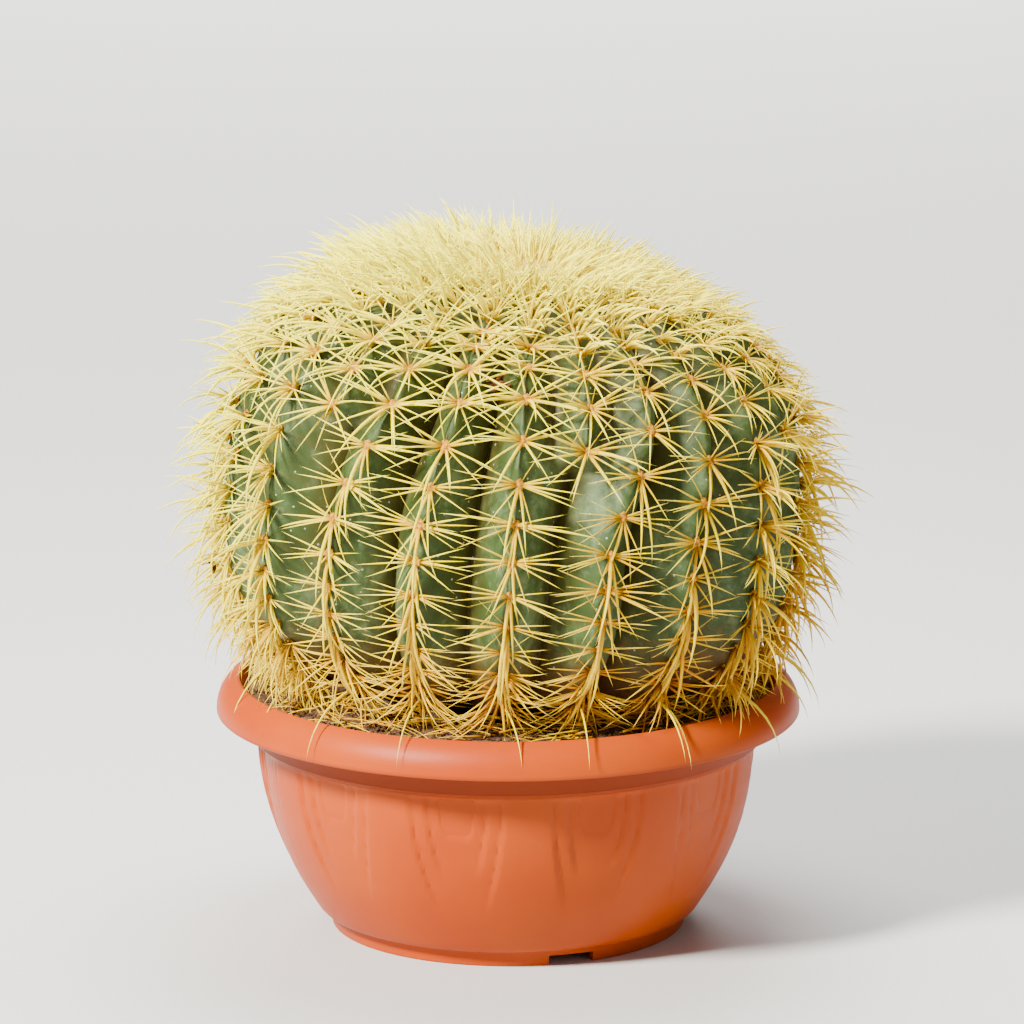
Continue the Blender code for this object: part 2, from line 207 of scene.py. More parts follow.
@dataclass(frozen=True)
class MouldedPolypropylene:
    """Injection-moulded polypropylene: an even satin sheen, faint flow clouds, scuffs from handling and
    painted shade on the band under the collar.
    """

    colour: str = "#aa3e03"
    pale: str = "#b24806"
    cloud_span: tuple = (0.35, 0.75)
    cloud_mm: float = 60
    dusty: str = "#bc7440"
    scuff_mm: float = 7
    scuff_span: tuple = (0.64, 0.8)
    scuff_share: float = 0.35
    # Painted shade under the collar: its colour, how strongly it shows and the heights of the band that it
    # covers.
    painted_shade: str = "#6e2000"
    painted_shade_share: float = 0.6
    painted_shade_band: tuple = (98.5 * MM, 112 * MM)
    painted_shade_band_fade: tuple = (1.5 * MM, 3 * MM)
    specular: float = 0.16
    ior: float = 1.49
    roughness: float = 0.4
    roughness_spread: tuple = (-0.06, 0.14)
    grain_mm: float = 0.9
    grain_strength: float = 0.12
    grain_height: float = 0.2 * MM

    def make(self) -> bpy.types.Material:
        """Build the material and return it."""
        material, tree, shader = new_material("moulded_polypropylene")
        place = add_node(tree, "ShaderNodeTexCoord", {}, {})
        clouds = add_node(tree, "ShaderNodeTexNoise", {"Scale": 1 / (self.cloud_mm * MM), "Detail": 3.0},
                          {"Vector": (place, "Object")})
        tones = list(zip(self.cloud_span, (self.colour, self.pale)))
        tint = add_node(tree, "ShaderNodeValToRGB", {"stops": tones}, {"Fac": (clouds, "Fac")})
        scuffs = add_node(tree, "ShaderNodeTexNoise",
                          {"Scale": 1 / (self.scuff_mm * MM), "Detail": 8.0, "Roughness": 0.75},
                          {"Vector": (place, "Object")})
        scuff_from, scuff_full = self.scuff_span
        dust = add_node(tree, "ShaderNodeMapRange",
                        {"From Min": scuff_from, "From Max": scuff_full, "To Max": self.scuff_share},
                        {"Value": (scuffs, "Fac")})
        dusted = add_node(tree, "ShaderNodeMix", {"data_type": "RGBA", 7: linear(self.dusty)},
                          {0: (dust, "Result"), 6: (tint, "Color")})
        height = add_node(tree, "ShaderNodeSeparateXYZ", {}, {"Vector": (place, "Object")})
        # Painted shade: between these heights the band under the collar's lip is mixed towards a dark
        # red-brown, standing in for the collar's shadow.
        low, high = self.painted_shade_band
        low_fade, high_fade = self.painted_shade_band_fade
        above = add_node(tree, "ShaderNodeMapRange", {"From Min": low - low_fade, "From Max": low},
                         {"Value": (height, "Z")})
        below = add_node(tree, "ShaderNodeMapRange",
                         {"From Min": high + high_fade, "From Max": high, "To Max": self.painted_shade_share},
                         {"Value": (height, "Z")})
        painted_shade_band = add_node(tree, "ShaderNodeMath", {"operation": "MULTIPLY"},
                             {0: (above, "Result"), 1: (below, "Result")})
        with_painted_shade = add_node(tree, "ShaderNodeMix", {"data_type": "RGBA", 7: linear(self.painted_shade)},
                          {0: (painted_shade_band, "Value"), 6: (dusted, 2)})
        tree.links.new(with_painted_shade.outputs[2], shader.inputs["Base Color"])
        glossier, duller = self.roughness_spread
        gloss = add_node(tree, "ShaderNodeMapRange",
                         {"To Min": self.roughness + glossier, "To Max": self.roughness + duller},
                         {"Value": (scuffs, "Fac")})
        tree.links.new(gloss.outputs["Result"], shader.inputs["Roughness"])
        grain = add_node(tree, "ShaderNodeTexNoise", {"Scale": 1 / (self.grain_mm * MM), "Detail": 2.0},
                         {"Vector": (place, "Object")})
        relief = {"Strength": self.grain_strength, "Distance": self.grain_height}
        bump = add_node(tree, "ShaderNodeBump", relief, {"Height": (grain, "Fac")})
        tree.links.new(bump.outputs["Normal"], shader.inputs["Normal"])
        shader.inputs["IOR"].default_value = self.ior
        shader.inputs["Specular IOR Level"].default_value = self.specular
        return material


@dataclass(frozen=True)
class GrainyFinish:
    """Matt finish of one fine pattern, which gives both its tones and its relief.

    Fields:
        name: Name of the material.
        tones: Colours along the pattern, each after its place from 0 to 1.
        grain_mm: Size of the pattern's coarsest grains.
        detail: How many finer grains are laid over them.
        harshness: How strongly the finer grains show.
        relief: Strength of the relief, or 0 for a flat finish.
        relief_height: Height of the relief, in metres.
        roughness: Roughness of the surface.
    """

    name: str
    tones: tuple
    grain_mm: float
    detail: float
    harshness: float = 0.5
    relief: float = 0
    relief_height: float = 0
    roughness: float = 0.95

    def make(self) -> bpy.types.Material:
        """Build the material and return it."""
        material, tree, shader = new_material(self.name)
        place = add_node(tree, "ShaderNodeTexCoord", {}, {})
        pattern = {"Scale": 1 / (self.grain_mm * MM), "Detail": self.detail, "Roughness": self.harshness}
        grain = add_node(tree, "ShaderNodeTexNoise", pattern, {"Vector": (place, "Object")})
        tint = add_node(tree, "ShaderNodeValToRGB", {"stops": self.tones}, {"Fac": (grain, "Fac")})
        tree.links.new(tint.outputs["Color"], shader.inputs["Base Color"])
        if self.relief:
            bump = add_node(tree, "ShaderNodeBump", {"Strength": self.relief, "Distance": self.relief_height},
                            {"Height": (grain, "Fac")})
            tree.links.new(bump.outputs["Normal"], shader.inputs["Normal"])
        shader.inputs["Roughness"].default_value = self.roughness
        return material


@dataclass(frozen=True)
class MoistPeat(GrainyFinish):
    """Moist peat mix: near-black brown crumbs with reddish fibres, wholly matt."""

    name: str = "moist_peat"
    tones: tuple = ((0.36, "#2a1a0c"), (0.6, "#745030"), (0.78, "#c8a268"))
    grain_mm: float = 2.1
    detail: float = 6.0
    harshness: float = 0.7
    relief: float = 0.7
    relief_height: float = 1.2 * MM


@dataclass(frozen=True)
class AreoleFelt(GrainyFinish):
    """Felt of an areole: short cream wool, weathered tan, with a rusty heart."""

    name: str = "areole_felt"
    tones: tuple = ((0.4, "#965a00"), (0.62, "#d29a14"))
    grain_mm: float = 1.6
    detail: float = 5.0
    relief: float = 0.8
    relief_height: float = 0.6 * MM


@dataclass(frozen=True)
class CrownWool(GrainyFinish):
    """Wool of the growing point: matted cream hair, yellowed between the tufts."""

    name: str = "crown_wool"
    tones: tuple = ((0.35, "#a07a10"), (0.6, "#d6c048"))
    grain_mm: float = 3
    detail: float = 7.0
    harshness: float = 0.7
    relief: float = 0.9
    relief_height: float = 1.5 * MM


@dataclass(frozen=True)
class DriedPetal(GrainyFinish):
    """Withered petals: papery, rust to dark brown, with paler veins."""

    name: str = "dried_petal"
    tones: tuple = ((0.38, "#4a2412"), (0.66, "#9a5a2a"))
    grain_mm: float = 1.4
    detail: float = 4.0
    roughness: float = 0.85


@dataclass(frozen=True)
class MattPaper(GrainyFinish):
    """Matt white backdrop paper, which gives a soft even floor."""

    name: str = "matt_paper"
    tones: tuple = ((0.4, "#c6c6c4"), (0.6, "#c9c9c7"))
    grain_mm: float = 3
    detail: float = 4.0
    roughness: float = 1.0


@dataclass(frozen=True)
class CactusSkin:
    """Waxy cactus skin: blue-green under a mealy bloom, olive in the furrows, corky brown at the base, with
    painted shade in the creases below the areoles.
    """

    green: str = "#303e10"
    blue_green: str = "#4a6638"
    bloom: str = "#9cac86"
    young: str = "#34400e"
    furrow: str = "#4a3e0c"
    cork: str = "#6e4a22"
    speck: str = "#d9dccb"
    tissue_span: tuple = (0.34, 0.66)
    patch_mm: float = 26
    patch_stretch: tuple = (1, 1, 0.55)
    mottle_mm: float = 5
    bloom_span: tuple = (0.24, 0.46)
    bloom_share: float = 0.5
    young_span: tuple = (0.245, 0.3)
    young_share: float = 0.62
    furrow_span: tuple = (0.45, 1.0)
    furrow_share: float = 0.85
    cork_span: tuple = (0.178, 0.148)
    cork_share: float = 0.92
    cork_raggedness: float = 0.05
    speck_mm: float = 7
    speck_span: tuple = (0.09, 0.05)
    speck_share: float = 0.7
    roughness_span: tuple = (0.46, 0.72)
    specular: float = 0.32
    relief: float = 0.35
    relief_height: float = 0.6 * MM

    def make(self) -> bpy.types.Material:
        """Build the material and return it."""
        material, tree, shader = new_material("waxy_cactus_skin")
        place = add_node(tree, "ShaderNodeTexCoord", {}, {})
        stretch = add_node(tree, "ShaderNodeMapping", {"Scale": self.patch_stretch},
                           {"Vector": (place, "Object")})
        patches = add_node(tree, "ShaderNodeTexNoise", {"Scale": 1 / (self.patch_mm * MM), "Detail": 4.0},
                           {"Vector": (stretch, "Vector")})
        mottle = add_node(tree, "ShaderNodeTexNoise",
                          {"Scale": 1 / (self.mottle_mm * MM), "Detail": 6.0, "Roughness": 0.7},
                          {"Vector": (place, "Object")})
        tones = list(zip(self.tissue_span, (self.green, self.blue_green)))
        tissue = add_node(tree, "ShaderNodeValToRGB", {"stops": tones}, {"Fac": (patches, "Fac")})
        mealy = add_node(tree, "ShaderNodeMath", {"operation": "MULTIPLY"},
                         {0: (patches, "Fac"), 1: (mottle, "Fac")})
        height = add_node(tree, "ShaderNodeSeparateXYZ", {}, {"Vector": (place, "Object")})
        depth = add_node(tree, "ShaderNodeAttribute", {"attribute_name": "furrow"}, {})
        crease = add_node(tree, "ShaderNodeAttribute", {"attribute_name": "crease"}, {})
        ragged = add_node(tree, "ShaderNodeMath", {"operation": "MULTIPLY_ADD", 1: -self.cork_raggedness},
                          {0: (mottle, "Fac"), 2: (height, "Z")})
        dots = add_node(tree, "ShaderNodeTexVoronoi", {"Scale": 1 / (self.speck_mm * MM), "Randomness": 1.0},
                        {"Vector": (place, "Object")})
        cork_span = tuple(level - self.cork_raggedness / 2 for level in self.cork_span)
        skin, output = tissue, "Color"
        for colour, source, span, share in (
            (self.bloom, (mealy, "Value"), self.bloom_span, self.bloom_share),
            (self.young, (height, "Z"), self.young_span, self.young_share),
            (self.furrow, (depth, "Fac"), self.furrow_span, self.furrow_share),
            # Painted shade in the creases below the areoles.
            (self.furrow, (crease, "Fac"), (0.0, 1.0), 1.0),
            (self.cork, (ragged, "Value"), cork_span, self.cork_share),
            (self.speck, (dots, "Distance"), self.speck_span, self.speck_share),
        ):
            cover = add_node(tree, "ShaderNodeMapRange",
                             {"From Min": span[0], "From Max": span[1], "To Max": share}, {"Value": source})
            skin = add_node(tree, "ShaderNodeMix", {"data_type": "RGBA", 7: linear(colour)},
                            {0: (cover, "Result"), 6: (skin, output)})
            output = 2
        tree.links.new(skin.outputs[output], shader.inputs["Base Color"])
        glossy, dull = self.roughness_span
        sheen = add_node(tree, "ShaderNodeMapRange", {"To Min": glossy, "To Max": dull},
                         {"Value": (mottle, "Fac")})
        tree.links.new(sheen.outputs["Result"], shader.inputs["Roughness"])
        shader.inputs["Specular IOR Level"].default_value = self.specular
        bump = add_node(tree, "ShaderNodeBump", {"Strength": self.relief, "Distance": self.relief_height},
                        {"Height": (mottle, "Fac")})
        tree.links.new(bump.outputs["Normal"], shader.inputs["Normal"])
        return material


@dataclass(frozen=True)
class SpineHorn:
    """Horny spine: amber at its root, straw along its shaft and cream at its tip, browner with age and with
    the painted shade that its tone carries on the +X side.
    """

    young: tuple = ((0.0, "#bc7400"), (0.12, "#e8cc00"), (0.5, "#f8f000"), (1.0, "#fefa5c"))
    old: tuple = ((0.0, "#7c3800"), (0.2, "#c06c00"), (0.54, "#e2a208"), (1.0, "#f2cc54"))
    band_shade: str = "#9a6a10"
    band_mm: float = 2.4
    band_span: tuple = (0.5, 0.8)
    band_share: float = 0.4
    roughness: float = 0.46
    roughness_spread: tuple = (-0.08, 0.12)
    specular: float = 0.14

    def make(self) -> bpy.types.Material:
        """Build the material and return it."""
        material, tree, shader = new_material("spine_horn")
        along = add_node(tree, "ShaderNodeAttribute", {"attribute_name": "along"}, {})
        tone = add_node(tree, "ShaderNodeAttribute", {"attribute_name": "tone"}, {})
        young = add_node(tree, "ShaderNodeValToRGB", {"stops": self.young}, {"Fac": (along, "Fac")})
        old = add_node(tree, "ShaderNodeValToRGB", {"stops": self.old}, {"Fac": (along, "Fac")})
        aged = add_node(tree, "ShaderNodeMix", {"data_type": "RGBA"},
                        {0: (tone, "Fac"), 6: (young, "Color"), 7: (old, "Color")})
        place = add_node(tree, "ShaderNodeTexCoord", {}, {})
        bands = add_node(tree, "ShaderNodeTexNoise", {"Scale": 1 / (self.band_mm * MM), "Detail": 3.0},
                         {"Vector": (place, "Object")})
        band_from, band_full = self.band_span
        banded = add_node(tree, "ShaderNodeMapRange",
                          {"From Min": band_from, "From Max": band_full, "To Max": self.band_share},
                          {"Value": (bands, "Fac")})
        stained = add_node(tree, "ShaderNodeMix", {"data_type": "RGBA", 7: linear(self.band_shade)},
                           {0: (banded, "Result"), 6: (aged, 2)})
        tree.links.new(stained.outputs[2], shader.inputs["Base Color"])
        glossier, duller = self.roughness_spread
        sheen = add_node(tree, "ShaderNodeMapRange",
                         {"To Min": self.roughness + glossier, "To Max": self.roughness + duller},
                         {"Value": (bands, "Fac")})
        tree.links.new(sheen.outputs["Result"], shader.inputs["Roughness"])
        shader.inputs["Specular IOR Level"].default_value = self.specular
        return material


# Copies of one small modelled shape


@dataclass(frozen=True)
class Pattern:
    """A small shape that is modelled once and then copied.

    Fields:
        points: Rows of its vertices.
        faces: Vertex numbers of each face.
        along: Share of the way from root to tip at each vertex.
    """

    points: np.ndarray
    faces: tuple
    along: np.ndarray


def pattern_from(piece: bpy.types.Object) -> Pattern:
    """Take a modelled piece's shape as a pattern, and remove the piece."""
    points = mesh_points(piece)
    reach = np.linalg.norm(points, axis=1)
    faces = tuple(tuple(face.vertices) for face in piece.data.polygons)
    pattern = Pattern(points, faces, reach / reach.max())
    bpy.data.objects.remove(piece)
    return pattern


@dataclass
class CopyBed:
    """Copies of patterns, gathered and then joined into one piece."""

    placed: dict = field(default_factory=dict)

    def add(self, key: str, pattern: Pattern, place: Matrix, tone: float) -> None:
        """Put down one copy of a pattern at a place, with a tone for its colour."""
        _, places, tones = self.placed.setdefault(key, (pattern, [], []))
        places.append(place)
        tones.append(tone)

    def make(self, name: str) -> bpy.types.Object:
        """Join the copies into one smooth-shaded mesh object.

        Args:
            name: Name of the piece.

        Returns:
            The joined piece, with "along" and "tone" on its vertices and a bake map laid out by them.
        """
        points, faces, alongs, tones, sides = [], [], [], [], []
        count = 0
        for pattern, places, shades in self.placed.values():
            matrices = np.array([[list(row) for row in place] for place in places])
            turned = np.einsum("kij,nj->kni", matrices[:, :3, :3], pattern.points) + matrices[:, None, :3, 3]
            size = len(pattern.points)
            points.append(turned.reshape(-1, 3))
            for copy in range(len(places)):
                shift = count + copy * size
                faces.extend([[corner + shift for corner in face] for face in pattern.faces])
            alongs.append(np.tile(pattern.along, len(places)))
            tones.append(np.repeat(np.clip(shades, 0, 1), size))
            sides.append(np.tile(np.arange(size) % 5 / 5, len(places)))
            count += size * len(places)
        mesh = bpy.data.meshes.new(name)
        mesh.from_pydata(np.concatenate(points), [], faces)
        piece = bpy.data.objects.new(name, mesh)
        bpy.context.scene.collection.objects.link(piece)
        along, tone = np.concatenate(alongs), np.concatenate(tones)
        write_attribute(piece, "along", along)
        write_attribute(piece, "tone", tone)
        corners = np.empty(len(mesh.loops), dtype=np.int32)
        mesh.loops.foreach_get("vertex_index", corners)
        across = 0.02 + 0.9 * tone + 0.06 * np.concatenate(sides)
        spots = np.stack([across[corners], 0.02 + 0.96 * along[corners]], axis=1)
        bake_map = mesh.uv_layers.new(name="OFBake")
        bake_map.data.foreach_set("uv", spots.ravel().astype(np.float32))
        mesh.shade_smooth()
        return piece


def aimed(place: Vector, way: Vector, towards: Vector, size: float) -> Matrix:
    """Matrix that stands a pattern on a place.

    Args:
        place: Where its root goes.
        way: Where its own +Z points.
        towards: The side that its own +X, and so its bend, faces.
        size: Scale.

    Returns:
        A 4x4 matrix.
    """
    shaft = way.normalized()
    bend = (towards - shaft * towards.dot(shaft)).normalized()
    cross = shaft.cross(bend)
    turn = Matrix((bend, cross, shaft)).transposed().to_4x4()
    return Matrix.Translation(place) @ turn @ Matrix.Scale(size, 4)


@dataclass(frozen=True)
class SpineCut:
    """One spine, modelled as a ring that is drawn out, turned and tapered joint by joint to its tip."""

    name: str
    length: float
    root_radius: float
    bend: float
    sides: int = 5
    joints: int = 5
    flatness: float = 0.8

    def model(self) -> Pattern:
        """Model the spine along +Z, bending towards +X, and return it as a pattern."""
        start_object_mode()
        bpy.ops.mesh.primitive_circle_add(vertices=self.sides, radius=self.root_radius, fill_type="NGON")
        piece = new_piece(self.name)
        bpy.ops.object.mode_set(mode="EDIT")
        bpy.ops.mesh.select_all(action="SELECT")
        bpy.ops.transform.resize(value=(1, self.flatness, 1))
        step = self.length / self.joints
        turn = math.radians(self.bend) / self.joints
        centre = Vector((0, 0, 0))
        for joint in range(self.joints):
            angle = turn * (joint + 0.5)
            move = Vector((math.sin(angle), 0, math.cos(angle))) * step
            centre = centre + move
            bpy.ops.mesh.extrude_region_move(TRANSFORM_OT_translate={"value": move})
            taper = 1 - ((joint + 1) / self.joints) ** 1.6
            before = 1 - (joint / self.joints) ** 1.6
            if joint == self.joints - 1:
                bpy.ops.mesh.merge(type="CENTER")
                break
            bpy.ops.transform.rotate(value=-turn, orient_axis="Y", center_override=centre)
            bpy.ops.transform.resize(value=(taper / before,) * 3, center_override=centre)
        bpy.ops.mesh.select_all(action="SELECT")
        bpy.ops.mesh.normals_make_consistent(inside=False)
        bpy.ops.object.mode_set(mode="OBJECT")
        return pattern_from(piece)


# The globe


@dataclass(frozen=True)
class Globe:
    """The stem's ribbed and slightly leaning globe, which the skin, the felt and the spines all follow."""

    radius: float = 147 * MM
    equator: float = 213 * MM
    crown_rise: float = 125 * MM
    crown_power: float = 3.0
    base_drop: float = 100 * MM
    base_power: float = 2.3
    dimple: float = 8 * MM
    dimple_radius: float = 30 * MM
    lean: float = 5
    lean_pivot: tuple = (-1 * MM, 0, 185 * MM)
    rib_depth: float = 0.18
    full_ribs: int = 19
    short_rib_gaps: tuple = (0, 3, 6, 9, 13, 16)
    spread_from: float = 225 * MM
    spread_to: float = 305 * MM
    short_rib_from: float = 262 * MM
    short_rib_ramp: float = 22 * MM
    short_rib_stagger: float = 5 * MM
    low_areole: float = 145 * MM
    low_areole_sway: float = 8 * MM

    def crest_line(self, grow: float = 0, samples: int = 900) -> tuple[np.ndarray, np.ndarray, np.ndarray]:
        """Radius, height and run of the crest line from the base to the crown."""
        swing = np.linspace(-math.pi / 2, math.pi / 2, samples)
        power = np.where(swing < 0, self.base_power, self.crown_power)
        reach = np.where(swing < 0, self.base_drop, self.crown_rise) + grow
        radius = (self.radius + grow) * np.clip(np.cos(swing), 0, 1) ** (2 / power)
        height = self.equator + reach * np.sign(swing) * np.abs(np.sin(swing)) ** (2 / power)
        hollow = self.dimple * np.exp(-((radius / self.dimple_radius) ** 2))
        height = np.where(swing > 0, height - hollow, height)
        run = np.concatenate([[0], np.cumsum(np.hypot(np.diff(radius), np.diff(height)))])
        return radius, height, run

    def crest_at(self, run: Any) -> tuple[Any, Any]:
        """Radius and height of the crest line at a run from its base."""
        radius, height, runs = self.crest_line()
        return np.interp(run, runs, radius), np.interp(run, runs, height)

    def run_at_height(self, level: float) -> float:
        """Run of the crest line where it reaches a height, short of the crown's dimple."""
        _, height, run = self.crest_line()
        top = int(np.argmax(height))
        return float(np.interp(level, height[:top], run[:top]))

    def first_areole_height(self, turn: float) -> float:
        """Height of a full rib's lowest areole, lower on the side that the stem leans away from."""
        return self.low_areole + self.low_areole_sway * math.sin(math.radians(turn))

    def run_at_crown_radius(self, distance: float) -> float:
        """Run of the crest line where it has closed in to a radius near the crown."""
        radius, _, run = self.crest_line()
        widest = int(np.argmax(radius))
        return float(np.interp(-distance, -radius[widest:], run[widest:]))

    def full_rib_turn(self, rib: Any, height: Any) -> Any:
        """Turn of a full rib, which moves aside as the short ribs come in."""
        before = sum((np.asarray(rib) > gap).astype(float) for gap in self.short_rib_gaps)
        low = rib * 360 / self.full_ribs
        high = (rib + before) * 360 / (self.full_ribs + len(self.short_rib_gaps))
        return low + (high - low) * smooth_step(height, self.spread_from, self.spread_to)

    def short_rib_turn(self, gap: Any, height: Any) -> Any:
        """Turn of the short rib halfway between two full ribs."""
        return (self.full_rib_turn(gap, height) + self.full_rib_turn(gap + 1, height)) / 2

    def short_rib_start(self, gap: Any) -> Any:
        """Height where a short rib starts to stand out of its valley."""
        return self.short_rib_from + (gap % 3) * self.short_rib_stagger

    def lean_matrix(self) -> Matrix:
        """The stem's slight lean towards +X."""
        pivot = Matrix.Translation(self.lean_pivot)
        back = Matrix.Translation((0, 0, -self.lean_pivot[2]))
        return pivot @ Matrix.Rotation(math.radians(self.lean), 4, "Y") @ back


GLOBE = Globe()
LEANED = GLOBE.lean_matrix()
LEANED_TURN = LEANED.to_3x3()
SLOPE_STEP = 1 * MM
ROW_END_RADIUS = 40 * MM
SHORT_ROW_DROP = 4 * MM
GAP_HEIGHTS = (150 * MM, 180 * MM, 213 * MM, 245 * MM, 275 * MM, 300 * MM, 322 * MM)
AREOLE_GAPS = (13 * MM, 15 * MM, 18 * MM, 20 * MM, 23 * MM, 19 * MM, 12 * MM)


@dataclass(frozen=True)
class Areole:
    """One spine cushion on a crest, with the ways out, up the rib and sideways from it."""

    place: Vector
    out: Vector
    up: Vector
    side: Vector
    radius: float
    height: float
    turn: float

    def way(self, bearing: float, lift: float) -> Vector:
        """Direction at a bearing in the skin's plane and a lift off it, both in degrees.

        Args:
            bearing: 0 points sideways towards a growing turn, and 90 points up the rib.
            lift: 90 points straight out of the skin.

        Returns:
            A unit vector.
        """
        flat = self.side * math.cos(math.radians(bearing)) + self.up * math.sin(math.radians(bearing))
        return flat * math.cos(math.radians(lift)) + self.out * math.sin(math.radians(lift))


def areole_at(turn_at: Callable[[float], float], run: float) -> Areole:
    """Find the areole's place and directions at a run along a rib's crest."""
    radius, height = GLOBE.crest_at(run)
    lower = GLOBE.crest_at(run - SLOPE_STEP)
    upper = GLOBE.crest_at(run + SLOPE_STEP)
    turn = float(turn_at(height))
    slope = Vector((upper[0] - lower[0], upper[1] - lower[1])).normalized()
    flat_out = around(turn, 1, 0)
    return Areole(
        place=LEANED @ around(turn, radius, height),
        out=LEANED_TURN @ (flat_out * slope.y - Vector((0, 0, slope.x))),
        up=LEANED_TURN @ (flat_out * slope.x + Vector((0, 0, slope.y))),
        side=LEANED_TURN @ around(turn + 90, 1, 0),
        radius=float(radius),
        height=float(height),
        turn=turn,
    )


def areole_runs(first_height: float, last_radius: float) -> list[float]:
    """Runs along a crest where one row's areoles stand, widest apart above the middle of the globe."""
    run = GLOBE.run_at_height(first_height)
    end = GLOBE.run_at_crown_radius(last_radius)
    runs = []
    while run < end:
        runs.append(run)
        run += float(np.interp(GLOBE.crest_at(run)[1], GAP_HEIGHTS, AREOLE_GAPS))
    return runs


@dataclass(frozen=True)
class RibRow:
    """One rib's row of areoles, on a full rib or on a short one.

    Fields:
        name: Piece name of its spines.
        node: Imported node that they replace.
        number: Rib or gap number.
        short: Whether the rib is a short one.
    """

    name: str
    node: str
    number: int
    short: bool

    def turn_at(self, height: float) -> float:
        """Turn of this rib's crest at a height."""
        if self.short:
            return float(GLOBE.short_rib_turn(self.number, height))
        return float(GLOBE.full_rib_turn(self.number, height))

    def areoles(self) -> list[Areole]:
        """This row's areoles, from its lowest to its youngest."""
        if self.short:
            first = GLOBE.short_rib_start(self.number) + GLOBE.short_rib_ramp - SHORT_ROW_DROP
        else:
            first = GLOBE.first_areole_height(self.turn_at(GLOBE.low_areole))
        return [areole_at(self.turn_at, run) for run in areole_runs(first, ROW_END_RADIUS)]


def rib_rows() -> list[RibRow]:
    """List the plant's rows: nineteen full ones and six short ones."""
    full = [RibRow(f"spines_rib_{rib + 1:02d}", f"spine_row_{rib + 1:02d}", rib, False)
            for rib in range(GLOBE.full_ribs)]
    short = [RibRow(f"spines_short_rib_{number + 1}", f"short_spine_row_{number + 1}", gap, True)
             for number, gap in enumerate(GLOBE.short_rib_gaps)]
    return full + short


# The stem


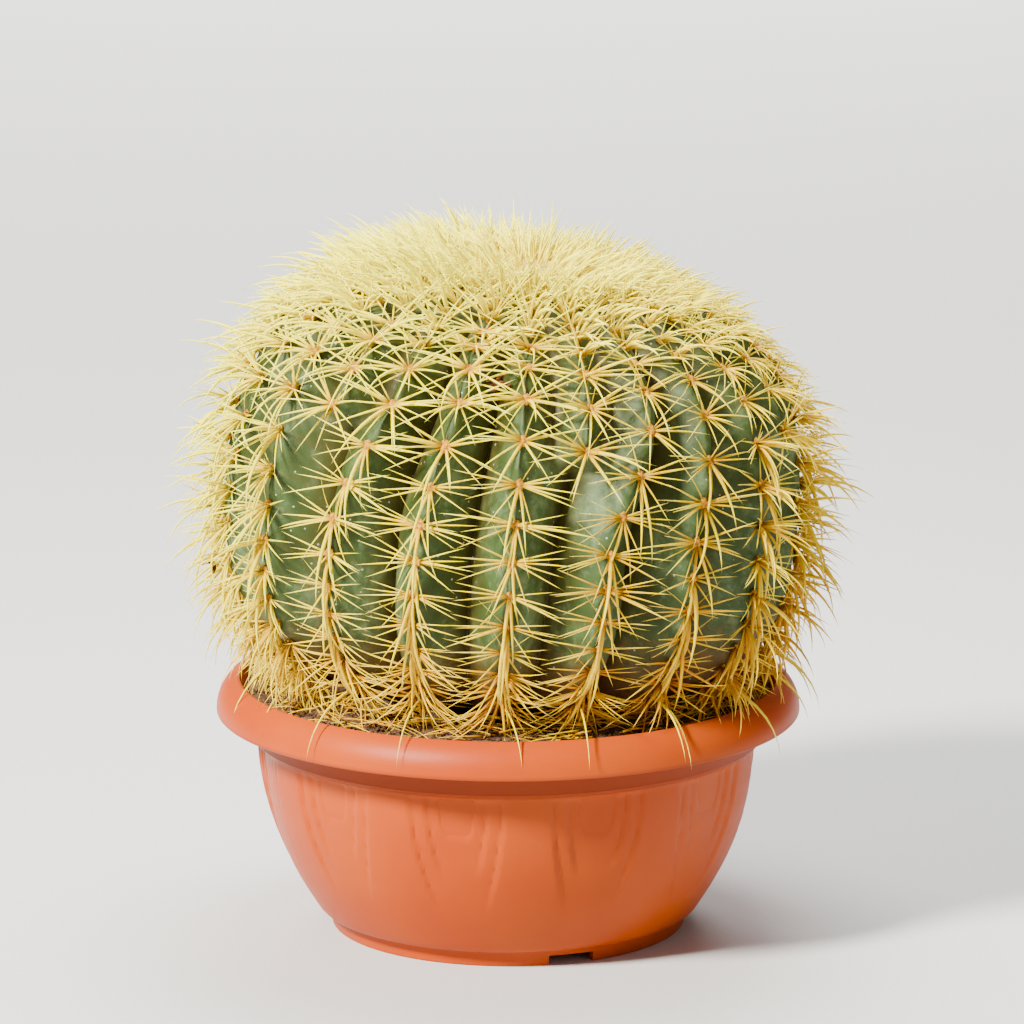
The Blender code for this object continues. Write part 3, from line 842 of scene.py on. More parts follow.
@dataclass(frozen=True)
class CactusStem:
    """The grown stem: ribs with rounded crests, humped between the areoles and creased below each one."""

    columns_per_gap: int = 20
    rings: int = 224
    hump: float = 1.3 * MM
    bulge: float = 0.9 * MM
    crease_depth: float = 0.4 * MM
    crease_width: float = 1.4 * MM
    crease_fall: float = 9 * MM
    crest_rounding: float = 0.07
    cleft: float = 0.12
    cleft_width: float = 0.07
    furrow_crowding: float = 1.5
    bulge_between: tuple = (0.45, 0.55)
    # How strongly the skin's colour is darkened in the creases, as painted shade.
    crease_reach: float = 1.1
    crease_painted_shade: float = 0.45
    plain_radius: float = 20 * MM
    hump_end_radius: float = 30 * MM
    usual_spacing: float = 18 * MM
    unevenness_mm: float = 1.1
    unevenness_grain: float = 34 * MM
    unevenness_seed: float = 3.0
    seat_columns_per_gap: int = 8
    seat_rings: int = 60

    def groove(self, away: np.ndarray) -> np.ndarray:
        """Depth share across a flank, rounded at the crest (0) and sharp in the furrow (1)."""
        rounding = self.crest_rounding
        curved = np.sqrt(away ** 2 + rounding ** 2) - rounding
        cleft = self.cleft * np.exp(-(((1 - away) / self.cleft_width) ** 2))
        return curved / (math.sqrt(1 + rounding ** 2) - rounding) + cleft

    def shape(self, points: np.ndarray, columns: int,
              grow: float) -> tuple[np.ndarray, np.ndarray, np.ndarray]:
        """Draw a unit ball's points out into the ribbed globe.

        Args:
            points: Rows on the unit ball.
            columns: Meridians of the ball.
            grow: How far to swell the globe, in metres.

        Returns:
            The new rows, how deep in its furrow each one lies, and how much of a crease it is on.
        """
        gaps_all = GLOBE.full_ribs
        latitude = np.arcsin(np.clip(points[:, 2], -1, 1))
        longitude = np.arctan2(points[:, 0], -points[:, 1])
        column = np.round(longitude / (2 * math.pi) * columns).astype(int) % columns
        gap, even = np.divmod(column * gaps_all / columns, 1)
        share = 0.5 + np.sign(even - 0.5) * np.abs(2 * even - 1) ** self.furrow_crowding / 2
        radii, heights, runs = GLOBE.crest_line(grow)
        run = (latitude / math.pi + 0.5) * runs[-1]
        radius = np.interp(run, runs, radii)
        height = np.interp(run, runs, heights)
        start = GLOBE.full_rib_turn(gap, height)
        turn = np.radians(start + (GLOBE.full_rib_turn(gap + 1, height) - start) * share)
        away = 1 - np.abs(1 - 2 * share)
        away_split = 1 - np.abs(1 - 2 * ((2 * share) % 1))
        rise = GLOBE.short_rib_start(gap)
        stands = smooth_step(height, rise, rise + GLOBE.short_rib_ramp) * np.isin(gap, GLOBE.short_rib_gaps)
        away = away + (away_split - away) * stands
        depth = radius * GLOBE.rib_depth * self.groove(away)
        rib = np.where(share < 0.5, gap, gap + 1) % gaps_all
        phase, spacing = self.areole_phase(rib, run + self.crease_fall * away)
        hump = self.hump * np.sin(math.pi * phase) ** 2 * (1 - away) ** 2
        least, rest = self.bulge_between
        bulge = self.bulge * np.sin(math.pi * away) * (least + rest * np.sin(math.pi * phase))
        near = np.minimum(phase, 1 - phase) * spacing
        across = np.sin(math.pi * np.clip(away * self.crease_reach, 0, 1))
        crease = np.exp(-((near / self.crease_width) ** 2)) * across
        depth -= hump + bulge - self.crease_depth * crease
        plain = radius * (1 - GLOBE.rib_depth * self.groove(away))
        radius = np.where(radius > self.plain_radius, radius - depth, plain)
        shaped = np.stack([radius * np.sin(turn), -radius * np.cos(turn), height], axis=1)
        leaned = shaped @ np.array(LEANED_TURN).T + np.array(LEANED.translation)
        return leaned, away, crease

    def areole_phase(self, rib: np.ndarray, run: np.ndarray) -> tuple[np.ndarray, np.ndarray]:
        """Share of the way between two areoles of the point's own rib, and how far apart they are."""
        phase = np.zeros_like(run)
        spacing = np.full_like(run, self.usual_spacing)
        for row in rib_rows():
            if row.short:
                continue
            first = GLOBE.first_areole_height(row.turn_at(GLOBE.low_areole))
            stops = np.array(areole_runs(first, self.hump_end_radius))
            own = rib == row.number
            numbers = np.interp(run[own], stops, np.arange(len(stops)))
            phase[own] = numbers % 1
            floor = np.clip(numbers.astype(int), 0, len(stops) - 2)
            spacing[own] = stops[floor + 1] - stops[floor]
        return phase, spacing

    def build(self, finish: CactusSkin) -> None:
        """Model and dress the stem."""
        columns = self.columns_per_gap * GLOBE.full_ribs
        start_object_mode()
        bpy.ops.mesh.primitive_uv_sphere_add(segments=columns, ring_count=self.rings, radius=1)
        stem = new_piece("cactus_stem_skin")
        stem.data.uv_layers[0].name = "OFBake"
        points, away, crease = self.shape(mesh_points(stem), columns, 0)
        uneven = noise_field(points, self.unevenness_grain, self.unevenness_seed) * self.unevenness_mm * MM
        points += uneven[:, None] * self.outward(points)
        set_mesh_points(stem, points)
        write_attribute(stem, "furrow", away)
        # Painted shade: the creases below the areoles are darkened towards the furrow colour.
        write_attribute(stem, "crease", crease * self.crease_painted_shade)
        bpy.ops.object.shade_smooth()
        finish_piece(stem, finish.make(), ["cactus_stem"])

    def outward(self, points: np.ndarray) -> np.ndarray:
        """Unit directions away from the globe's middle."""
        ways = points - np.array([0, 0, GLOBE.equator])
        return ways / np.linalg.norm(ways, axis=1)[:, None]

    def seat_cutter(self, grow: float) -> bpy.types.Object:
        """Coarser and slightly swollen globe that hollows the soil."""
        columns = self.seat_columns_per_gap * GLOBE.full_ribs
        start_object_mode()
        bpy.ops.mesh.primitive_uv_sphere_add(segments=columns, ring_count=self.seat_rings, radius=1)
        cutter = new_piece("stem_seat")
        set_mesh_points(cutter, self.shape(mesh_points(cutter), columns, grow)[0])
        return cutter


# Turned pieces


def turned_piece(name: str, outline: Sequence[tuple[float, float]], steps: int) -> bpy.types.Object:
    """Spin an outline that starts and ends on the axis into a closed shape.

    Args:
        name: Name of the piece.
        outline: Radius and height of each point.
        steps: Steps in the full turn.

    Returns:
        The closed piece, with its faces outwards.
    """
    start_object_mode()
    bpy.ops.mesh.primitive_plane_add(size=1)
    piece = new_piece(name)
    bpy.ops.object.mode_set(mode="EDIT")
    bpy.ops.mesh.select_mode(type="VERT")
    bpy.ops.mesh.select_all(action="SELECT")
    bpy.ops.mesh.merge(type="CENTER")
    bpy.ops.transform.translate(value=(outline[0][0], 0, outline[0][1]))
    for (radius, height), (next_radius, next_height) in zip(outline, outline[1:]):
        move = (next_radius - radius, 0, next_height - height)
        bpy.ops.mesh.extrude_region_move(TRANSFORM_OT_translate={"value": move})
    bpy.ops.mesh.select_all(action="SELECT")
    bpy.ops.mesh.spin(steps=steps, angle=2 * math.pi, center=(0, 0, 0), axis=(0, 0, 1))
    bpy.ops.mesh.select_all(action="SELECT")
    bpy.ops.mesh.remove_doubles(threshold=MERGE)
    bpy.ops.mesh.normals_make_consistent(inside=False)
    bpy.ops.object.mode_set(mode="OBJECT")
    return piece


def cut_away(piece: bpy.types.Object, cutter: bpy.types.Object) -> None:
    """Cut one closed piece out of another, and remove the cutter."""
    start_object_mode()
    piece.select_set(True)
    bpy.context.view_layer.objects.active = piece
    cut = piece.modifiers.new("cut", "BOOLEAN")
    cut.operation = "DIFFERENCE"
    cut.solver = "EXACT"
    cut.object = cutter
    bpy.ops.object.modifier_apply(modifier="cut")
    bpy.data.objects.remove(cutter)


def join_pieces(pieces: Sequence[bpy.types.Object]) -> bpy.types.Object:
    """Join pieces into one, and hand it over."""
    for piece in pieces:
        piece.select_set(True)
    bpy.ops.object.join()
    return bpy.context.active_object


def arc(centre: tuple[float, float], radii: tuple[float, float], start: float, end: float,
        count: int) -> list[tuple[float, float]]:
    """Points of an elliptic arc in a section, by the angle from straight up."""
    angles = [math.radians(start + (end - start) * step / count) for step in range(count + 1)]
    return [(centre[0] + radii[0] * math.sin(a), centre[1] + radii[1] * math.cos(a)) for a in angles]


@dataclass(frozen=True)
class BowlPot:
    """Moulded bowl pot: rolled collar, plain band, bowl with pleats pressed into it, notched foot ring."""

    steps: int = 480
    wall: float = 2.5 * MM
    bowl_top_radius: float = 129 * MM
    bowl_top: float = 98 * MM
    corner_radius: float = 98.4 * MM
    corner: float = 11 * MM
    bowl_power: float = 1.93
    band_step: float = 2.4 * MM
    band_top_radius: float = 137.8 * MM
    band_top: float = 125 * MM
    rim_inner_radius: float = 138.2 * MM
    rim_edge: float = 130.2 * MM
    collar_radius: float = 150 * MM
    collar_lip: float = 113.7 * MM
    collar_width: float = 17.9 * MM
    collar_height: float = 18.4 * MM
    foot_radius: float = 91.1 * MM
    foot_width: float = 5.1 * MM
    foot_height: float = 8.2 * MM
    base_flat: float = 60 * MM
    inside_rise: float = 1 * MM
    rim_round: tuple = (0.6 * MM, 0.8 * MM)
    collar_span: tuple = (24, 88)
    lip_span: tuple = (80, 270)
    collar_underside: tuple = (84, 48)
    lip_drop: float = 0.4 * MM
    lip_round: float = 0.9 * MM
    band_ledge: tuple = (1.6 * MM, 8 * MM)
    ridge_rise: float = 2.6 * MM
    ridge_radii: tuple = (1 * MM, 1.2 * MM)
    ridge_span: tuple = (60, 150)
    ridge_foot: tuple = (0.5 * MM, 0.7 * MM)
    foot_fillet: float = 3 * MM
    foot_fillet_belly: float = 0.4 * MM
    foot_steps: tuple = ((1 * MM, 0.6 * MM), (0.4 * MM, 1.6 * MM))
    foot_side_end: float = 1 * MM
    foot_edge_in: float = 0.8 * MM
    foot_edge: tuple = (0.7 * MM, 0.8 * MM)
    foot_edge_span: tuple = (110, 180)
    foot_draft: float = 0.6 * MM
    base_underside: float = 5.8 * MM
    base_top: float = 8.5 * MM
    notch_turns: tuple = (20.7, 140.7, 260.7)
    notch_size: tuple = (24 * MM, 14 * MM, 5.2 * MM)
    notch_round: float = 0.8 * MM
    drain_count: int = 5
    drain_circle: float = 62 * MM
    drain_radius: float = 6 * MM
    pleat_count: int = 11
    first_pleat_turn: float = -11.8
    pleat_depth: float = 1.1 * MM
    pleat_edge: float = 0.9 * MM
    pleat_line: float = 0.7 * MM
    pleats: tuple = ((24 * MM, 70 * MM), (16 * MM, 48 * MM), (8.5 * MM, 26 * MM))
    pleat_narrowing: tuple = (0.5, 1.9)
    pleat_fade_from: float = 0.6
    pleat_start: float = 2.5 * MM
    on_face: float = 0.1 * MM
    smooth_angle: float = 38

    def bowl_radius(self, height: Any) -> Any:
        """Outer radius of the bowl between its bottom corner and the step under the band."""
        share = (height - self.corner) / (self.bowl_top - self.corner)
        flare = self.bowl_top_radius - self.corner_radius
        return self.bowl_top_radius - flare * (1 - share) ** self.bowl_power

    def bowl_line(self, inset: float, count: int) -> list[tuple[float, float]]:
        """Points down the bowl, set in from its outer face."""
        fall = self.bowl_top - self.corner
        heights = [self.bowl_top - fall * step / count for step in range(count + 1)]
        return [(self.bowl_radius(height) - inset, height) for height in heights]

    def outline(self) -> list[tuple[float, float]]:
        """Section of the pot: up its inside, over the collar, down its outside and under its base."""
        centre = (self.collar_radius - self.collar_width, self.collar_lip)
        outer = (self.collar_width, self.collar_height)
        inner = (self.collar_width - self.wall, self.collar_height - self.wall)
        section = [(0, self.base_top), (self.base_flat, self.base_top)]
        section += [(self.corner_radius - 4 * self.wall, self.base_top)]
        inside = reversed(self.bowl_line(self.wall, 10))
        section += [(radius, height + self.inside_rise) for radius, height in inside]
        section += [(self.band_top_radius - self.wall, self.band_top)]
        section += [(self.rim_inner_radius - self.rim_round[0], self.rim_edge - self.rim_round[1])]
        section += [(self.rim_inner_radius, self.rim_edge)]
        section += arc(centre, outer, *self.collar_span, 16)
        lip = (self.collar_radius - self.wall / 2, self.collar_lip - self.lip_drop)
        section += arc(lip, (self.wall / 2, self.lip_round), *self.lip_span, 6)
        section += arc(centre, inner, *self.collar_underside, 6)
        section += [(self.band_top_radius, self.band_top)]
        section += [(self.band_top_radius - self.band_ledge[0], self.band_top - self.band_ledge[1])]
        ridge = (self.bowl_top_radius + self.band_step - self.ridge_radii[0], self.bowl_top + self.ridge_rise)
        section += arc(ridge, self.ridge_radii, *self.ridge_span, 4)
        section += [(self.bowl_top_radius + self.ridge_foot[0], self.bowl_top + self.ridge_foot[1])]
        section += self.bowl_line(0, 46)
        corner = (self.foot_radius + self.foot_fillet, self.foot_height)
        section += [((self.corner_radius + corner[0]) / 2 + self.foot_fillet_belly,
                     (self.corner + corner[1]) / 2 - self.foot_fillet_belly), corner]
        section += [(self.foot_radius + out, self.foot_height - down) for out, down in self.foot_steps]
        section += [(self.foot_radius, self.foot_side_end)]
        edge = (self.foot_radius - self.foot_edge_in, self.foot_edge_in)
        section += arc(edge, self.foot_edge, *self.foot_edge_span, 3)
        section += [(self.foot_radius - self.foot_width, 0)]
        section += [(self.foot_radius - self.foot_width - self.foot_draft, self.base_underside)]
        section += [(0, self.base_underside)]
        return section

    def pleat_press(self, turn: np.ndarray, height: np.ndarray) -> np.ndarray:
        """How deep the nested pleats are pressed in at a turn and a height on the bowl."""
        spacing = 360 / self.pleat_count
        off = (turn - self.first_pleat_turn + spacing / 2) % spacing - spacing / 2
        across = np.abs(np.radians(off)) * self.bowl_top_radius
        fall = self.bowl_top - height
        press = np.zeros_like(height)
        narrowing, power = self.pleat_narrowing
        for half_width, length in self.pleats:
            share = np.clip(fall / length, 0, 1)
            edge = half_width * (1 - narrowing * share ** power)
            inside = 1 - smooth_step(across, edge - self.pleat_edge, edge + self.pleat_edge)
            line = np.exp(-(((across - edge) / self.pleat_edge) ** 2))
            fade = 1 - smooth_step(share, self.pleat_fade_from, 1)
            press += (self.pleat_depth * inside + self.pleat_line * line) * fade
        return press * smooth_step(fall, 0, self.pleat_start)

    def press_pleats(self, pot: bpy.types.Object) -> None:
        """Press the pleats into the bowl's outer face, where it lies below the band."""
        points = mesh_points(pot)
        radius = np.hypot(points[:, 0], points[:, 1])
        height = points[:, 2]
        outer = self.bowl_radius(np.clip(height, self.corner, self.bowl_top))
        on_bowl = (np.abs(radius - outer) < self.on_face) & (height > self.corner) & (height <= self.bowl_top)
        turn = np.degrees(np.arctan2(points[:, 0], -points[:, 1]))
        press = self.pleat_press(turn, height) * on_bowl
        points[:, :2] *= ((radius - press) / np.maximum(radius, 1e-6))[:, None]
        set_mesh_points(pot, points)

    def notch_cutter(self) -> bpy.types.Object:
        """Three rounded blocks that notch the foot ring, joined as one cutter."""
        start_object_mode()
        blocks = []
        for turn in self.notch_turns:
            place = around(turn, self.foot_radius - self.foot_width / 2, 0)
            bpy.ops.mesh.primitive_cube_add(size=1, location=place, rotation=(0, 0, math.radians(turn)))
            block = new_piece("foot_notch")
            block.scale = (self.notch_size[0], self.notch_size[1], self.notch_size[2] * 2)
            bpy.ops.object.transform_apply(location=True, rotation=True, scale=True)
            bpy.ops.object.mode_set(mode="EDIT")
            bpy.ops.mesh.select_all(action="SELECT")
            bpy.ops.mesh.bevel(offset=self.notch_round, segments=2)
            bpy.ops.object.mode_set(mode="OBJECT")
            blocks.append(block)
        return join_pieces(blocks)

    def drain_cutter(self) -> bpy.types.Object:
        """Rods that drill the drain holes, joined as one cutter."""
        start_object_mode()
        rods = []
        for hole in range(self.drain_count):
            place = around(360 / self.drain_count * hole, self.drain_circle, self.base_top)
            bpy.ops.mesh.primitive_cylinder_add(
                vertices=24, radius=self.drain_radius, depth=4 * self.base_top, location=place)
            bpy.ops.object.transform_apply(location=True, rotation=True, scale=True)
            rods.append(new_piece("drain_rod"))
        return join_pieces(rods)

    def build(self, finish: MouldedPolypropylene) -> None:
        """Model and dress the pot."""
        pot = turned_piece("bowl_pot", self.outline(), self.steps)
        self.press_pleats(pot)
        cut_away(pot, self.notch_cutter())
        cut_away(pot, self.drain_cutter())
        start_object_mode()
        pot.select_set(True)
        bpy.context.view_layer.objects.active = pot
        bpy.ops.object.shade_smooth_by_angle(angle=math.radians(self.smooth_angle))
        finish_piece(pot, finish.make(), ["pot"])


@dataclass(frozen=True)
class PottingSoil:
    """Peat that fills the pot, crumbly on top, with a seat for the stem and loose crumbs lying on it."""

    steps: int = 300
    edge: float = 123.5 * MM
    crown: float = 128.5 * MM
    crown_radius: float = 112 * MM
    gap: float = 0.35 * MM
    lump: float = 2.2 * MM
    lump_layers: tuple = ((9 * MM, 1.0, 0.8), (3.2 * MM, 5.0, 0.5))
    level_from: float = 132 * MM
    level_to: float = 135 * MM
    rim_radius: float = 136 * MM
    plain_radius: float = 70 * MM
    ring_from: float = 74 * MM
    ring_count: int = 26
    crumb_count: int = 2600
    crumb_ring: tuple = (102 * MM, 132.5 * MM)
    crumb_sizes: tuple = (0.7, 0.9, 1.2, 1.9)
    crumb_lift: float = 0.4
    seat_growth: float = 0.5 * MM

    def surface_height(self, radius: Any) -> Any:
        """Height of the raked soil at a distance from the axis."""
        return np.interp(radius, [self.crown_radius, self.rim_radius], [self.crown, self.edge])

    def outline(self, pot: BowlPot) -> list[tuple[float, float]]:
        """Section of the soil: out over its surface and down along the inside of the pot."""
        inset = pot.wall + self.gap
        slope = (pot.band_top_radius - pot.bowl_top_radius) / (pot.band_top - pot.bowl_top - pot.inside_rise)
        edge_radius = pot.band_top_radius - inset - (pot.band_top - self.edge) * slope
        ring_width = edge_radius - self.ring_from
        radii = [self.ring_from + ring_width * ring / self.ring_count for ring in range(self.ring_count + 1)]
        surface = [(radius, float(self.surface_height(radius))) for radius in [0, *radii]]
        wall = [(radius, height + pot.inside_rise) for radius, height in pot.bowl_line(inset, 8)]
        floor = pot.base_top + self.gap
        return surface + wall + [(pot.corner_radius - 4 * pot.wall - self.gap, floor), (0, floor)]

    def build(self, finish: MoistPeat, pot: BowlPot, stem: CactusStem) -> None:
        """Model and dress the soil."""
        soil = turned_piece("potting_soil_bed", self.outline(pot), self.steps)
        points = mesh_points(soil)
        radius = np.hypot(points[:, 0], points[:, 1])
        top = (points[:, 2] > self.edge - 0.1 * MM) & (radius > self.plain_radius)
        lumps = sum(noise_field(points, grain, seed) * share for grain, seed, share in self.lump_layers)
        inland = 1 - smooth_step(radius, self.level_from, self.level_to)
        points[:, 2] += np.where(top, lumps * self.lump * inland, 0)
        set_mesh_points(soil, points)
        cut_away(soil, stem.seat_cutter(self.seat_growth))
        soil.data.shade_smooth()
        material = finish.make()
        finish_piece(soil, material, ["potting_soil"])
        self.scatter_crumbs(material)

    def crumb(self) -> Pattern:
        """One crumb of peat, a ball pulled out of round."""
        start_object_mode()
        bpy.ops.mesh.primitive_ico_sphere_add(subdivisions=1, radius=1)
        piece = new_piece("crumb")
        bpy.ops.object.mode_set(mode="EDIT")
        bpy.ops.mesh.select_all(action="SELECT")
        bpy.ops.transform.resize(value=(1.25, 0.9, 0.7))
        bpy.ops.transform.vertex_random(offset=0.22, uniform=0.5, seed=3)
        bpy.ops.object.mode_set(mode="OBJECT")
        return pattern_from(piece)

    def scatter_crumbs(self, material: bpy.types.Material) -> None:
        """Lay loose crumbs over the ring of soil between the stem and the rim."""
        chance = random.Random(21)
        crumb = self.crumb()
        bed = CopyBed()
        for _ in range(self.crumb_count):
            radius = chance.uniform(*self.crumb_ring)
            size = chance.uniform(0.6, 1) * chance.choice(self.crumb_sizes) * MM
            level = float(self.surface_height(radius)) + size * self.crumb_lift
            place = around(chance.uniform(0, 360), radius, level)
            way = any_way(chance)
            bed.add("crumb", crumb, aimed(place, way, Vector((0.3, 1, 0.2)), size), chance.random())
        finish_piece(bed.make("loose_peat_crumbs"), material, [])


# Spines


SPINE_CUTS = (
    SpineCut("radial_straight", 28 * MM, 0.72 * MM, 6),
    SpineCut("radial_curved", 29 * MM, 0.7 * MM, 22),
    SpineCut("radial_hooked", 29 * MM, 0.66 * MM, 44),
    SpineCut("hair_curved", 31 * MM, 0.45 * MM, 30),
    SpineCut("central_straight", 38 * MM, 1.25 * MM, 12, joints=6),
    SpineCut("central_curved", 42 * MM, 1.25 * MM, 40, joints=6),
    SpineCut("central_hooked", 46 * MM, 1.15 * MM, 72, joints=7),
    SpineCut("crown_swept", 47 * MM, 1.35 * MM, 56, joints=7),
    SpineCut("crown_blade", 44 * MM, 2.1 * MM, 54, joints=7, flatness=0.4),
    SpineCut("draped", 54 * MM, 1.15 * MM, 84, joints=8, flatness=0.6),
)


@dataclass(frozen=True)
class SpineGroup:
    """Spines of one kind that an areole carries.

    Fields:
        count: How many, as a lowest and a highest number.
        cuts: Spine cuts to choose from.
        bearing: Lowest and highest bearing in the skin's plane, in degrees, for the side of a growing turn.
        lift: Lowest and highest lift off the skin, in degrees.
        size: Lowest and highest scale.
        curl: How much the bend faces away from the crown rather than back to the skin, from 0 to 1.
        both_sides: Whether the other side of the rib carries the same again.
    """

    count: tuple[int, int]
    cuts: tuple[str, ...]
    bearing: tuple[float, float]
    lift: tuple[float, float]
    size: tuple[float, float]
    curl: float = 0.0
    both_sides: bool = True


FLAT = ("radial_straight", "radial_curved")
FLAT_MOSTLY_STRAIGHT = ("radial_straight", "radial_curved", "radial_straight")
LOOSE = ("radial_curved", "radial_straight", "hair_curved")
HAIRY = ("hair_curved", "radial_hooked", "hair_curved")
STRAIGHT_OR_HAIR = ("radial_straight", "hair_curved")
CENTRALS = ("central_curved", "central_straight", "central_hooked")
DROOPING = ("central_curved", "central_hooked", "central_curved")
STRAIGHTER = ("central_straight", "central_curved")
STRAIGHTER_OR_SWEPT = ("central_straight", "central_curved", "crown_swept")
BLADES = ("crown_swept", "crown_blade", "crown_blade")


class Zone(Enum):
    """How the areoles are spined from the soil up to the crown."""

    SKIRT = (
        SpineGroup((4, 5), LOOSE, (-40, 26), (4, 46), (0.8, 1.2)),
        SpineGroup((4, 5), HAIRY, (-88, 50), (14, 70), (0.8, 1.25)),
        SpineGroup((1, 2), CENTRALS, (-120, -60), (8, 46), (0.6, 0.95), 0, False),
    )
    LOWER = (
        SpineGroup((3, 4), FLAT_MOSTLY_STRAIGHT, (-20, 20), (4, 24), (0.75, 1.15)),
        SpineGroup((1, 1), FLAT, (-66, -44), (8, 24), (0.7, 1.05)),
        SpineGroup((0, 1), ("hair_curved",), (28, 75), (6, 20), (0.6, 0.85)),
        SpineGroup((2, 3), DROOPING, (-101, -79), (8, 22), (0.9, 1.15), 0, False),
        SpineGroup((0, 1), ("central_straight", "radial_curved"), (-40, 8), (8, 30), (0.75, 1.0)),
    )
    MIDDLE = (
        SpineGroup((4, 5), FLAT_MOSTLY_STRAIGHT, (-26, 28), (6, 30), (0.8, 1.2)),
        SpineGroup((1, 1), FLAT, (-76, -48), (8, 30), (0.8, 1.05)),
        SpineGroup((0, 1), ("hair_curved", "radial_straight"), (36, 82), (8, 26), (0.6, 0.9)),
        SpineGroup((2, 2), ("central_curved", "central_hooked"), (-110, -72), (12, 30), (0.8, 1.1), 0, False),
        SpineGroup((0, 1), STRAIGHTER, (-32, 20), (10, 38), (0.8, 1.05)),
    )
    UPPER = (
        SpineGroup((4, 4), FLAT, (-40, 40), (6, 36), (0.95, 1.3), 0.1),
        SpineGroup((1, 1), STRAIGHT_OR_HAIR, (44, 84), (10, 36), (0.75, 1.1), 0.1),
        SpineGroup((1, 1), FLAT, (-80, -46), (8, 34), (0.8, 1.1)),
        SpineGroup((2, 2), STRAIGHTER_OR_SWEPT, (-140, -40), (24, 70), (0.7, 0.98), 0.6, False),
        SpineGroup((0, 1), STRAIGHTER, (-25, 60), (14, 50), (0.8, 1.0), 0.3),
    )
    LIMB = (
        SpineGroup((1, 2), ("radial_hooked", "hair_curved", "radial_curved"), (-70, 50), (26, 66),
                   (0.85, 1.15)),
        SpineGroup((3, 4), ("central_hooked", "central_curved", "crown_swept"), (-150, -30), (30, 62),
                   (0.62, 0.92), 0.2, False),
    )
    SUMMIT = (
        SpineGroup((4, 4), FLAT, (-60, 60), (22, 66), (0.8, 1.15), 0.6),
        SpineGroup((4, 5), BLADES, (-150, -30), (50, 94), (0.58, 0.84), 0.9, False),
        SpineGroup((0, 1), ("crown_blade", "radial_curved"), (-60, 60), (44, 80), (0.6, 0.85), 0.9),
    )


